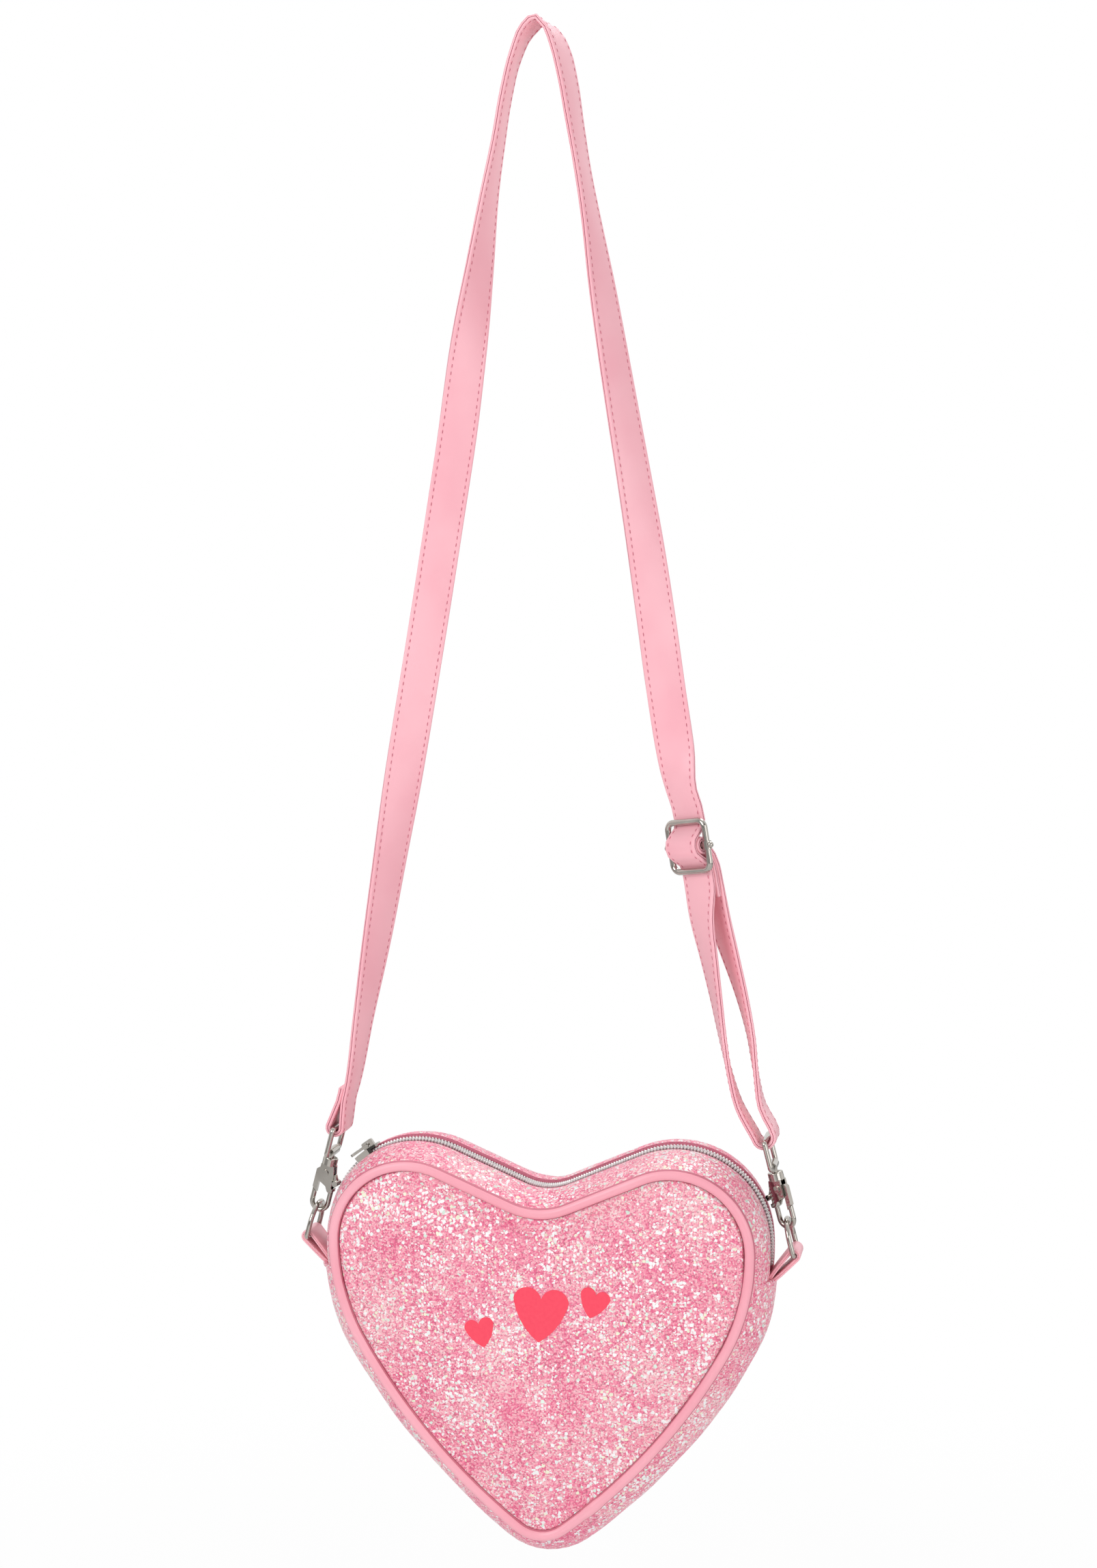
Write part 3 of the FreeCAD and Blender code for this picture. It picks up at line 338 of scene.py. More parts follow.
# Polyurethane-coated strap vinyl, embossed with a fine calf grain: soft satin shine, colour almost even
def vinyl(name, colour, shade, grain_mm, gloss):
    material, tree, place = new_material(name)
    grain = add_node(tree, "TexVoronoi", {
        "Vector": place, "Scale": 1000.0 / grain_mm}, feature="DISTANCE_TO_EDGE")
    cells = add_node(tree, "MapRange", {"Value": grain.outputs["Distance"], "From Max": 0.25})
    cloud = add_node(tree, "TexNoise", {"Vector": place, "Scale": 1000.0 / 40.0, "Detail": 3.0})
    tint = add_node(tree, "MapRange", {"Value": cloud.outputs["Fac"], "From Min": 0.35, "From Max": 0.65})
    hue = add_node(tree, "Mix", {"Factor": tint.outputs[0], 6: shade, 7: colour}, data_type="RGBA")
    rough = add_node(tree, "MapRange", {
        "Value": cloud.outputs["Fac"], "To Min": gloss, "To Max": gloss + 0.14})
    relief = add_node(tree, "Bump", {"Height": cells.outputs[0], "Strength": 0.12, "Distance": 0.05 * MM})
    skin = add_node(tree, "BsdfPrincipled", {
        "Base Color": hue.outputs[2], "Roughness": rough.outputs[0], "Normal": relief.outputs[0],
        "IOR": 1.5})
    add_node(tree, "OutputMaterial", {"Surface": skin.outputs[0]})
    return material


def whole_section(quarter):
    # a flat strip's whole outline from one quarter of it
    upper = [(-a, b) for a, b in quarter[:0:-1]] + quarter
    return upper + [(a, -b) for a, b in quarter[-2::-1]] + [(-a, -b) for a, b in quarter[1:-1]]


strap_vinyl = vinyl("polyurethane_strap_vinyl", "#FEBFC9", "#FAB3BF", 0.7, 0.28)
# darker vinyl for the groove between the strap's two layers: painted shade of the groove
strap_groove_shade = vinyl("strap_vinyl_painted_groove_shade", "#D98A9B", "#CB798C", 0.5, 0.5)
half_w = STRAP_WIDTH / 2
half_t = STRAP_T / 2
seam = half_w - STITCH_INSET
quarter = [(0.0, half_t), (seam - 0.55, half_t), (seam, half_t - 0.14), (seam + 0.55, half_t - 0.02),
           (half_w - 0.35, half_t - 0.06), (half_w, half_t - 0.4), (half_w, 0.16), (half_w - 0.35, 0.0)]
strap_section = whole_section(quarter)
strap_stations = strap_frames(smooth_route(strap_route, 4.0))
strap_bm = sweep(lambda i: strap_section, strap_stations)
corner = strap_bm.verts.layers.int["corner"]
# the faces in the groove along each edge take the painted groove shade
groove = [k for k, (a, b) in enumerate(strap_section) if abs(a) > half_w - 0.5 and abs(b) < 0.2]
for face in strap_bm.faces:
    if all(v[corner] in groove for v in face.verts):
        face.material_index = 1
strap = add_piece("shoulder_strap_vinyl", strap_bm, "strap", "strap_vinyl", strap_vinyl, strap_groove_shade)
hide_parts("shoulder_strap")

# Strap thread: spun polyester in the strap's pink, one lock stitch every 3 mm, 1.7 mm from both edges,
# sunk a little into the vinyl; its colour is darkened to deep rose, painted shade of the stitch hole, so it
# shows as a short dark dash
thread_with_hole_shade, tree, place = new_material("spun_polyester_thread_painted_hole_shade")
twill = add_node(tree, "TexNoise", {"Vector": place, "Scale": 1000.0 / 0.8})
hue = add_node(tree, "Mix", {"Factor": twill.outputs["Fac"], 6: "#B9566B", 7: "#E58C9E"}, data_type="RGBA")
fibre = add_node(tree, "BsdfPrincipled", {"Base Color": hue.outputs[2], "Roughness": 0.6})
add_node(tree, "OutputMaterial", {"Surface": fibre.outputs[0]})


def repeated(bm, places):
    # copies of one small shape, each at its own place, in one mesh
    shape = bpy.data.meshes.new("repeated_shape")
    bm.to_mesh(shape)
    bm.free()
    whole = bmesh.new()
    for place in places:
        copy = shape.copy()
        copy.transform(place)
        whole.from_mesh(copy)
        bpy.data.meshes.remove(copy)
    bpy.data.meshes.remove(shape)
    return whole


def spaced(frames, due, pitch):
    # distances along a path, one pitch apart from due on, each with the frame there
    run = 0.0
    for before, after in zip(frames, frames[1:]):
        gap = (after.translation - before.translation).length / MM
        while run + gap >= due:
            yield due, before.lerp(after, (due - run) / gap)
            due += pitch
        run += gap


stitch_bm = bmesh.new()
bmesh.ops.create_uvsphere(stitch_bm, u_segments=6, v_segments=5, radius=1.0)
stitch_form = Matrix.Diagonal((0.24 * MM, 0.2 * MM, 0.8 * MM, 1.0))
stitch_places = []
for due, spot in spaced(strap_stations, 2.0, STITCH_PITCH):
    for across in (-seam, seam):
        for face in (-1, 1):
            seat = Matrix.Translation((across * MM, face * (half_t - 0.06) * MM, 0.0))
            stitch_places.append(spot @ seat @ stitch_form)
add_piece("shoulder_strap_stitches", repeated(stitch_bm, stitch_places), "strap", "strap_vinyl",
          thread_with_hole_shade)

# Buckle, clasps and D rings: die-cast and bent wire hardware, barrel-plated with bright nickel.
# The solids of the frame are the finished shapes; they only need their metal.
# Nickel plate: slightly warm silver, mirror bright on the wire, with fine tumbling marks and soft wear
bright_nickel, tree, place = new_material("bright_nickel_plate")
marks = add_node(tree, "TexNoise", {"Vector": place, "Scale": 1000.0 / 1.2, "Detail": 4.0})
wear = add_node(tree, "TexNoise", {"Vector": place, "Scale": 1000.0 / 6.0, "Detail": 2.0})
hue = add_node(tree, "Mix", {"Factor": wear.outputs["Fac"], 6: "#A9A39C", 7: "#C6C1BA"}, data_type="RGBA")
rough = add_node(tree, "MapRange", {"Value": marks.outputs["Fac"], "To Min": 0.05, "To Max": 0.15})
relief = add_node(tree, "Bump", {"Height": marks.outputs["Fac"], "Strength": 0.04, "Distance": 0.03 * MM})
plate = add_node(tree, "BsdfPrincipled", {
    "Base Color": hue.outputs[2], "Metallic": 1.0, "Roughness": rough.outputs[0],
    "Normal": relief.outputs[0]})
add_node(tree, "OutputMaterial", {"Surface": plate.outputs[0]})
# Drawn spring wire: darker grey, no plating
spring_wire, tree, place = new_material("drawn_spring_wire")
marks = add_node(tree, "TexNoise", {"Vector": place, "Scale": 1000.0 / 0.5, "Detail": 2.0})
rough = add_node(tree, "MapRange", {"Value": marks.outputs["Fac"], "To Min": 0.3, "To Max": 0.5})
wire = add_node(tree, "BsdfPrincipled", {
    "Base Color": "#8C8C90", "Metallic": 1.0, "Roughness": rough.outputs[0]})
add_node(tree, "OutputMaterial", {"Surface": wire.outputs[0]})


def dress(nodes, material):
    for node in nodes:
        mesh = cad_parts[node].data
        mesh.materials.clear()
        mesh.materials.append(material)


dress(["buckle_frame", "buckle_bar", "zip_slider", "zip_pull"], bright_nickel)
for side in ("left", "right"):
    dress([side + "_clasp_" + part for part in ("loop", "swivel", "body", "lever", "pin")], bright_nickel)
    dress([side + "_d_ring"], bright_nickel)

# Lever springs: under each clasp's cap a small coil of spring wire pushes the gate lever shut.
# Opening the lever presses the coil up against the cap.
SPRING_R = 0.58
SPRING_WIRE_R = 0.14
SPRING_TURNS = 5
SPRING_STEPS = 12
SPRING_BACK = 3.0
SPRING_FOOT = 13.35
SPRING_TOP = 16.45
RING_HEIGHT = 14.0


def framed(path, across_at):
    # frames along a path in millimetres; across_at(i) is the first axis, roughly square to the path
    frames = []
    for i, p in enumerate(path):
        ahead = (path[min(i + 1, len(path) - 1)] - path[max(i - 1, 0)]).normalized()
        across = across_at(i)
        across = (across - ahead * across.dot(ahead)).normalized()
        turn = Matrix((across, ahead.cross(across), ahead)).transposed().to_4x4()
        frames.append(Matrix.Translation(p * MM) @ turn)
    return frames


def round_section(r, count):
    return [(r * math.cos(math.tau * i / count), r * math.sin(math.tau * i / count)) for i in range(count)]


for name, side, turned, tilt in (("left", -1, 5.0, LEFT_TILT), ("right", 1, -32.0, RIGHT_TILT)):
    seat = (Matrix.Diagonal((side, 1, 1, 1)) @ Matrix.Translation((BAR_X, 0, BAR_Z))
            @ Matrix.Rotation(math.radians(-tilt), 4, "Y") @ Matrix.Translation((0, 0, RING_HEIGHT))
            @ Matrix.Rotation(math.radians(turned), 4, "Z"))
    steps = SPRING_TURNS * SPRING_STEPS
    rise = (SPRING_TOP - SPRING_FOOT - 2 * SPRING_WIRE_R) / steps
    coil_path = []
    for i in range(steps + 1):
        a = math.tau * i / SPRING_STEPS
        coil_path.append(seat @ Vector((-SPRING_BACK + SPRING_R * math.cos(a), SPRING_R * math.sin(a),
                                        SPRING_FOOT + SPRING_WIRE_R + rise * i)))
    upward = (seat.to_3x3() @ Vector((0, 0, 1))).normalized()
    coil_bm = sweep(lambda i: round_section(SPRING_WIRE_R, 6), framed(coil_path, lambda i: upward))
    spring = add_piece(name + "_lever_coil_spring", coil_bm, name + "_clasp", "spring_steel", spring_wire)
    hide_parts(name + "_clasp_spring")
    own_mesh(spring)

# Heart outline: both piped seams follow it. It is a chain of arcs, and the straight runs between the cleft
# and the lobes; sizes are at the centre line of the piping.
HALF_WIDTH = 86.4
LOBE_R = 31.6
LOBE_RISE = 35.3
CLEFT_DEPTH = 18.0
CLEFT_R = 30.0
SHOULDER_R = 85.0
SHOULDER_ANGLE = 30.0
FLANK_R = 250.0
TIP_R = 15.5
SEAM_ANGLE = 8.8
BAG_DEPTH = 46.0
z_top = BAR_Z + LOBE_RISE
z_lobe = z_top - LOBE_R
x_lobe = HALF_WIDTH - LOBE_R
x_shoulder = HALF_WIDTH - SHOULDER_R
z_cleft = z_top - CLEFT_DEPTH + CLEFT_R
lean = math.degrees(math.acos((CLEFT_R + LOBE_R) / math.hypot(x_lobe, z_cleft - z_lobe)))
slope = math.degrees(math.atan2(z_cleft - z_lobe, -x_lobe)) - lean
flank_offset = FLANK_R - SHOULDER_R
x_flank = x_shoulder - flank_offset * math.cos(math.radians(SHOULDER_ANGLE))
z_flank = z_lobe + flank_offset * math.sin(math.radians(SHOULDER_ANGLE))
z_tip = z_flank - math.sqrt((FLANK_R - TIP_R) ** 2 - x_flank ** 2)
tip_angle = math.degrees(math.atan2(z_tip - z_flank, -x_flank))


def arc_run(cx, cz, r, a0, a1, sense, step):
    # points (x, z, outward x, outward z) along an arc, without its last point
    count = max(2, round(abs(math.radians(a1 - a0)) * r / step))
    run = []
    for i in range(count):
        a = math.radians(a0 + (a1 - a0) * i / count)
        run.append((cx + r * math.cos(a), cz + r * math.sin(a), sense * math.cos(a), sense * math.sin(a)))
    return run


def half_outline(step):
    # the right half from the cleft's lowest point to the side seam, and on to the tip
    upper = arc_run(0.0, z_cleft, CLEFT_R, 270.0, 180.0 + slope, -1, step)
    a = math.radians(slope)
    p = (-CLEFT_R * math.cos(a), z_cleft - CLEFT_R * math.sin(a))
    q = (x_lobe + LOBE_R * math.cos(a), z_lobe + LOBE_R * math.sin(a))
    count = max(2, round(math.dist(p, q) / step))
    upper += [(p[0] + (q[0] - p[0]) * i / count, p[1] + (q[1] - p[1]) * i / count, math.cos(a), math.sin(a))
              for i in range(count)]
    upper += arc_run(x_lobe, z_lobe, LOBE_R, slope, 0.0, 1, step)
    upper += arc_run(x_shoulder, z_lobe, SHOULDER_R, 0.0, -SEAM_ANGLE, 1, step)
    lower = arc_run(x_shoulder, z_lobe, SHOULDER_R, -SEAM_ANGLE, -SHOULDER_ANGLE, 1, step)
    lower += arc_run(x_flank, z_flank, FLANK_R, -SHOULDER_ANGLE, tip_angle, 1, step)
    lower += arc_run(0.0, z_tip, TIP_R, tip_angle, -90.0, 1, step)
    lower.append((0.0, z_tip - TIP_R, 0.0, -1.0))
    return upper, lower


def mirror_run(run):
    return [(-x, z, -nx, nz) for x, z, nx, nz in run]


right_upper, right_lower = half_outline(2.6)
seam_point = right_lower[0]
top_run = mirror_run([seam_point]) + mirror_run(right_upper[1:])[::-1] + right_upper + [seam_point]
bottom_run = right_lower + mirror_run(right_lower[:-1])[::-1]
whole_run = right_upper + bottom_run + mirror_run(right_upper[1:])[::-1]


def outline_frames(run, y=0.0):
    # first axis outward from the heart, second to the back, third along the outline
    frames = []
    for x, z, nx, nz in run:
        turn = Matrix(((nx, 0, nz), (0, 1, 0), (-nz, 0, nx))).transposed().to_4x4()
        frames.append(Matrix.Translation(Vector((x, y, z)) * MM) @ turn)
    return frames


# Glitter cloth: coarse pink glitter glued on a woven backing. Every flake lies at its own tilt. Most are
# pinks, some cream or pale mint; bright white ones in clusters are partly pale flakes, partly painted sparkle
# highlights; darker glue shows between them.
def glitter(name, glint_share):
    FLAKE = 0.66             # across a common flake
    BRIGHT_FLAKE = 1.35      # across a white flake, partly a painted sparkle highlight
    RAGGED = 0.5             # how far a flake's outline wanders
    CLUSTER = 26.0           # across a cluster of white flakes and painted sparkle highlights
    PATCH = 34.0             # across a patch of hotter pink
    material, tree, place = new_material(name)
    fine = add_node(tree, "TexVoronoi", {"Vector": place, "Scale": 1000.0 / FLAKE})
    chance = add_node(tree, "SeparateColor", {"Color": fine.outputs["Color"]})
    patch = add_node(tree, "TexNoise", {
        "Vector": place, "Scale": 1000.0 / PATCH, "Detail": 4.0, "Roughness": 0.65})
    warmth = add_node(tree, "MapRange", {
        "Value": patch.outputs["Fac"], "From Min": 0.33, "From Max": 0.67, "To Min": 0.24, "To Max": -0.24})
    pick = add_node(tree, "Math", {
        0: chance.outputs[0], 1: warmth.outputs[0]}, operation="ADD", use_clamp=True)
    pinks = add_node(tree, "ValToRGB", {"Fac": pick.outputs[0]})
    pinks.color_ramp.interpolation = "CONSTANT"
    stops = ((0.0, "#EE6A92"), (0.06, "#F2779C"), (0.16, "#F689A6"), (0.3, "#F999B0"), (0.46, "#FBA9BA"),
             (0.62, "#FCB8C4"), (0.78, "#FDCAD1"), (0.92, "#FCDCDC"))
    ramp = pinks.color_ramp.elements
    ramp[0].color = hex_colour(stops[0][1])
    ramp[1].position, ramp[1].color = stops[1][0], hex_colour(stops[1][1])
    for position, colour in stops[2:]:
        ramp.new(position).color = hex_colour(colour)
    # the glue between the flakes lies deeper and darker
    gap = add_node(tree, "MapRange", {
        "Value": fine.outputs["Distance"], "From Min": 0.58, "From Max": 0.85, "To Max": 0.6})
    ground = add_node(tree, "Mix", {
        "Factor": gap.outputs[0], 6: pinks.outputs[0], 7: "#A9405F"}, data_type="RGBA")
    stray = add_node(tree, "TexNoise", {"Vector": place, "Scale": 1000.0 / 0.9, "Detail": 1.0})
    stray = add_node(tree, "VectorMath", {
        0: stray.outputs["Color"], "Scale": RAGGED * 2.0 * MM}, operation="SCALE")
    stray = add_node(tree, "VectorMath", {0: place, 1: stray.outputs[0]}, operation="ADD")
    bright = add_node(tree, "TexVoronoi", {"Vector": stray.outputs[0], "Scale": 1000.0 / BRIGHT_FLAKE})
    luck = add_node(tree, "SeparateColor", {"Color": bright.outputs["Color"]})
    cloud = add_node(tree, "TexNoise", {
        "Vector": place, "Scale": 1000.0 / CLUSTER, "Detail": 4.0, "Roughness": 0.7})
    crowd = add_node(tree, "MapRange", {
        "Value": cloud.outputs["Fac"], "From Min": 0.4, "From Max": 0.66, "To Min": 0.08,
        "To Max": glint_share * 2.4})
    # white flakes in the clusters: partly pale flakes, partly painted sparkle highlights
    is_white_or_glint = add_node(tree, "Math", {0: luck.outputs[0], 1: crowd.outputs[0]}, operation="LESS_THAN")
    size = add_node(tree, "MapRange", {"Value": luck.outputs[1], "To Min": 0.3, "To Max": 0.72})
    inside = add_node(tree, "Math", {
        0: bright.outputs["Distance"], 1: size.outputs[0]}, operation="LESS_THAN")
    flake = add_node(tree, "Math", {0: is_white_or_glint.outputs[0], 1: inside.outputs[0]}, operation="MULTIPLY")
    pale = add_node(tree, "ValToRGB", {"Fac": luck.outputs[2]})
    pale.color_ramp.interpolation = "CONSTANT"
    tones = pale.color_ramp.elements
    tones[0].color = hex_colour("#FFFFFF")
    tones[1].position, tones[1].color = 0.6, hex_colour("#FFF1F3")
    tones.new(0.78).color = hex_colour("#F6F6DC")
    tones.new(0.9).color = hex_colour("#E2F5E8")
    hue = add_node(tree, "Mix", {
        "Factor": flake.outputs[0], 6: ground.outputs[2], 7: pale.outputs[0]}, data_type="RGBA")
    tilt = add_node(tree, "Mix", {
        "Factor": flake.outputs[0], 6: fine.outputs["Color"], 7: bright.outputs["Color"]}, data_type="RGBA")
    lean_by = add_node(tree, "VectorMath", {0: tilt.outputs[2], 1: (-0.5, -0.5, -0.5)}, operation="ADD")
    lean_by = add_node(tree, "VectorMath", {0: lean_by.outputs[0], "Scale": 0.6}, operation="SCALE")
    cloth = add_node(tree, "NewGeometry")
    facet = add_node(tree, "VectorMath", {
        0: cloth.outputs["Normal"], 1: lean_by.outputs[0]}, operation="ADD")
    facet = add_node(tree, "VectorMath", {0: facet.outputs[0]}, operation="NORMALIZE")
    edge = add_node(tree, "Math", {0: flake.outputs[0], 1: fine.outputs["Distance"]}, operation="SUBTRACT")
    relief = add_node(tree, "Bump", {
        "Height": edge.outputs[0], "Normal": facet.outputs[0], "Strength": 0.4, "Distance": 0.2 * MM})
    rough = add_node(tree, "MapRange", {"Value": flake.outputs[0], "To Min": 0.4, "To Max": 0.2})
    film = add_node(tree, "BsdfPrincipled", {
        "Base Color": hue.outputs[2], "Roughness": rough.outputs[0], "Normal": relief.outputs[0],
        "IOR": 1.5})
    add_node(tree, "OutputMaterial", {"Surface": film.outputs[0]})
    return material


glitter_cloth = glitter("coarse_pink_glitter_cloth", 0.3)

# Front and back panels: heart shaped glitter cloth over thin foam, sewn into the piped seams.
# The foam lets each swell about 7 mm past its seam, quickly at the edge and nearly flat in the middle.
PIPING_R = 2.25
CROWN = 7.0
SWELL_CAP = 2.0          # the most that the simulation may move a point
DISH_DROP = 28.0
CLOTH = 1.6
FOAM = 2.0
LINING = 0.5
PLY_AIR = 0.06           # between two layers of the bag's wall
SEAM_AIR = 0.12
DENT = 0.5
RIPPLE_AT = 2.4
RIPPLE_WIDTH = 1.7
half_depth = BAG_DEPTH / 2
z_mid = z_lobe - DISH_DROP


def crown_height(k):
    # how far the panel has swollen where the heart is drawn k times its size
    t = min((1.0 - k) / 0.5, 1.0)
    return CROWN * (1.0 - (1.0 - t) ** 3.4)


def filled(bm, draw):
    # the sheet is cut 3 % too large and pressed out by the filling inside its seam, in a cloth simulation.
    # Gives each point's move; the middle, where the motif is pressed on flat, stays.
    mesh = bpy.data.meshes.new("sheet")
    bm.to_mesh(mesh)
    sheet = bpy.data.objects.new("sheet", mesh)
    scene.collection.objects.link(sheet)
    seam_line = sheet.vertex_groups.new(name="seam")
    seam_line.add([v.index for v in bm.verts if v[draw] > 0.99], 1.0, "REPLACE")
    cloth = sheet.modifiers.new("cloth", "CLOTH")
    cloth.settings.vertex_group_mass = "seam"
    cloth.settings.shrink_min = -0.03
    cloth.settings.tension_stiffness = 25.0
    cloth.settings.compression_stiffness = 25.0
    cloth.settings.bending_stiffness = 2.0
    cloth.settings.use_pressure = True
    cloth.settings.uniform_pressure_force = 3.0
    cloth.settings.effector_weights.gravity = 0.0
    for frame_number in range(1, 21):
        scene.frame_set(frame_number)
    swollen = sheet.evaluated_get(bpy.context.evaluated_depsgraph_get())
    moves = []
    for v, after in zip(bm.verts, swollen.data.vertices):
        move = after.co - v.co
        if move.length > SWELL_CAP * MM:
            move *= SWELL_CAP * MM / move.length
        free = min(max((v[draw] - 0.5) / 0.25, 0.0), 1.0)
        moves.append(move * free * free * (3.0 - 2.0 * free))
    scene.frame_set(1)
    bpy.data.objects.remove(sheet)
    bpy.data.meshes.remove(mesh)
    return moves


fillings = {}


def heart_panel(side, sink, wall):
    # a stack of shrinking hearts from the seam to the crown, a little uneven, thickened inwards
    scales = (1.0, 0.985, 0.965, 0.94, 0.91, 0.875, 0.835, 0.79, 0.74, 0.69, 0.63, 0.57, 0.5, 0.43, 0.36,
              0.29, 0.22, 0.15, 0.08)
    inset = PIPING_R + SEAM_AIR
    bm = bmesh.new()
    draw = bm.verts.layers.float.new("draw")
    verts = [bm.verts.new(Vector((x - nx * inset, side * (half_depth - sink), z - nz * inset)) * MM)
             for x, z, nx, nz in whole_run]
    for v in verts:
        v[draw] = 1.0
    edges = [bm.edges.new(pair) for pair in zip(verts, verts[1:] + verts[:1])]
    centre = Matrix.Translation((0, 0, z_mid * MM))
    for k0, k1 in zip(scales, scales[1:]):
        verts, edges = extrude_on(bm, edges)
        rise = side * (crown_height(k1) - crown_height(k0)) * MM
        shrink = Matrix.Diagonal((k1 / k0, 1.0, k1 / k0, 1.0))
        bmesh.ops.transform(bm, matrix=Matrix.Translation((0, rise, 0)) @ centre @ shrink @ centre.inverted(),
                            verts=verts)
        for v in verts:
            v[draw] = k1
    bmesh.ops.edgeloop_fill(bm, edges=edges)
    for v in bm.verts:
        free = min(abs(v.co.y) / MM - half_depth + sink, 3.0) / 3.0
        v.co.y += side * DENT * free * MM * noise.noise(v.co * 38.0 + Vector((side, 0, 0)))
        near = math.exp(-((abs(v.co.y) / MM - half_depth + sink - RIPPLE_AT) / RIPPLE_WIDTH) ** 2)
        spot = Vector((v.co.x, 0, v.co.z)) / MM / 10.0 + Vector((0, side * 5, 0))
        v.co.y += side * DENT * near * MM * noise.noise(spot)
    bmesh.ops.recalc_face_normals(bm, faces=bm.faces)
    if sum(f.normal.y * f.calc_area() for f in bm.faces) * side < 0:
        bmesh.ops.reverse_faces(bm, faces=bm.faces)
    if side not in fillings:
        bm.verts.index_update()
        fillings[side] = filled(bm, draw)
    for v, move in zip(bm.verts, fillings.get(side, [])):
        v.co += move
    bmesh.ops.solidify(bm, geom=bm.faces[:], thickness=wall * MM)
    return bm


for name, side in (("front", -1), ("back", 1)):
    panel_bm = heart_panel(side, 0.0, CLOTH)
    panel = add_piece(name + "_glitter_panel", panel_bm, "bag", "glitter_cloth", glitter_cloth)
    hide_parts(name + "_panel")

# Gusset: one glitter band round the tip from side seam to side seam, and two narrow ones over the lobes
# that leave the zipper between their folded edges.
GUSSET_BULGE = 7.5       # where the tabs leave the side seams
GUSSET_SWELL = 12.6      # between the seams, where the cloth stands proud of its pattern
GUSSET_EDGE = 1.1
FOLD_R = 0.95            # of the ridge over a side seam
ZIP_MOUTH = 8.4
BAND_SLOPE = 0.32
SEAM_HOLD = 16.0         # how far along a band its side seam is felt
SEAM_PULL = 2.6
FRONT_PRESS = 0.75
REAR_LIFT = 0.9          # of the rear band's folded edge, and of its middle
REAR_SWELL = 2.6
REAR_FADE = 44.0
SEAM_PUFF = 1.2
FOLD_SINK = 0.15
TAPE_LEVEL = 4.9
TAPE_FALL = 1.1
TAPE_T = 0.6

# Woven polyester tape, dyed deep rose: fine ribs across, quite matt. The same deep rose is laid on the bands'
# mouth-side end faces as painted shade.
tape_weave_and_band_shade, tree, place = new_material("woven_polyester_tape_and_band_end_shade")
warp = add_node(tree, "TexWave", {
    "Vector": place, "Scale": 1000.0 / 0.6 / 6.28, "Distortion": 0.4}, bands_direction="Y")
weft = add_node(tree, "TexNoise", {"Vector": place, "Scale": 1000.0 / 0.5})
threads = add_node(tree, "Math", {0: warp.outputs["Fac"], 1: weft.outputs["Fac"]}, operation="MULTIPLY")
hue = add_node(tree, "Mix", {"Factor": threads.outputs[0], 6: "#BE5F78", 7: "#E28FA2"}, data_type="RGBA")
relief = add_node(tree, "Bump", {"Height": threads.outputs[0], "Strength": 0.4, "Distance": 0.15 * MM})
cloth = add_node(tree, "BsdfPrincipled", {
    "Base Color": hue.outputs[2], "Roughness": 0.8, "Normal": relief.outputs[0]})
add_node(tree, "OutputMaterial", {"Surface": cloth.outputs[0]})


def arc_through(p, q, r, count):
    # points on the circle through three places of a section
    ax, ay, bx, by, cx, cy = *p, *q, *r
    d = 2 * (ax * (by - cy) + bx * (cy - ay) + cx * (ay - by))
    pp, qq, rr = ax * ax + ay * ay, bx * bx + by * by, cx * cx + cy * cy
    ux = (pp * (by - cy) + qq * (cy - ay) + rr * (ay - by)) / d
    uy = (pp * (cx - bx) + qq * (ax - cx) + rr * (bx - ax)) / d
    radius = math.dist(p, (ux, uy))
    a0 = math.atan2(ay - uy, ax - ux)
    a1 = math.atan2(cy - uy, cx - ux)
    turns = [a0 + (a1 - a0) * i / count for i in range(count + 1)]
    return [(ux + radius * math.cos(t), uy + radius * math.sin(t)) for t in turns]


def cloth_section(outer, wall):
    return outer + [(n - wall, y) for n, y in reversed(outer)]


edge_y = half_depth - PIPING_R - SEAM_AIR
mouth = ZIP_MOUTH / 2
mouth_n = TAPE_LEVEL + TAPE_T + SEAM_AIR + CLOTH
half_way = (edge_y + mouth) / 2
mid_n = mouth_n - (mouth_n - GUSSET_EDGE) * BAND_SLOPE
bottom_frames = outline_frames(bottom_run)
top_frames = outline_frames(top_run)


def wave(place, span, height):
    # soft unevenness of stuffed cloth, the same on every run
    return height * noise.noise(place.translation / MM / span)


def to_seam(frames, i):
    # distance to the nearer side seam
    ends = (frames[0].translation, frames[-1].translation)
    return min((frames[i].translation - end).length for end in ends) / MM


def bottom_arc(i):
    # the filling pushes the lower band well out between its piped seams, less where the side seams hold it
    held = math.exp(-(to_seam(bottom_frames, i) / SEAM_HOLD) ** 2)
    swell = GUSSET_SWELL - SEAM_PULL * held + wave(bottom_frames[i], 24.0, 0.9)
    return arc_through((GUSSET_EDGE, -edge_y), (swell, 0.0), (GUSSET_EDGE, edge_y), 16)


def zip_section(i, side):
    # the front band is pressed thin at its folded edge, the rear one stands up behind the zipper
    held = math.exp(-(to_seam(top_frames, i) / SEAM_HOLD) ** 2)
    lift = 1.0 - math.exp(-(to_seam(top_frames, i) / REAR_FADE) ** 2) if side > 0 else 0.0
    edge_n = mouth_n + (REAR_LIFT * lift if side > 0 else -FRONT_PRESS)
    inner_n = mouth_n - CLOTH + REAR_LIFT * lift
    middle = mid_n + REAR_SWELL * lift + SEAM_PUFF * held + wave(top_frames[i], 18.0, 0.6)
    outer = arc_through((GUSSET_EDGE, -edge_y), (middle, -half_way), (edge_n, -mouth), 10)
    inner = arc_through((GUSSET_EDGE - CLOTH, -edge_y), (middle - CLOTH, -half_way), (inner_n, -mouth), 10)
    return [(n, -side * y) for n, y in outer + inner[::-1]]


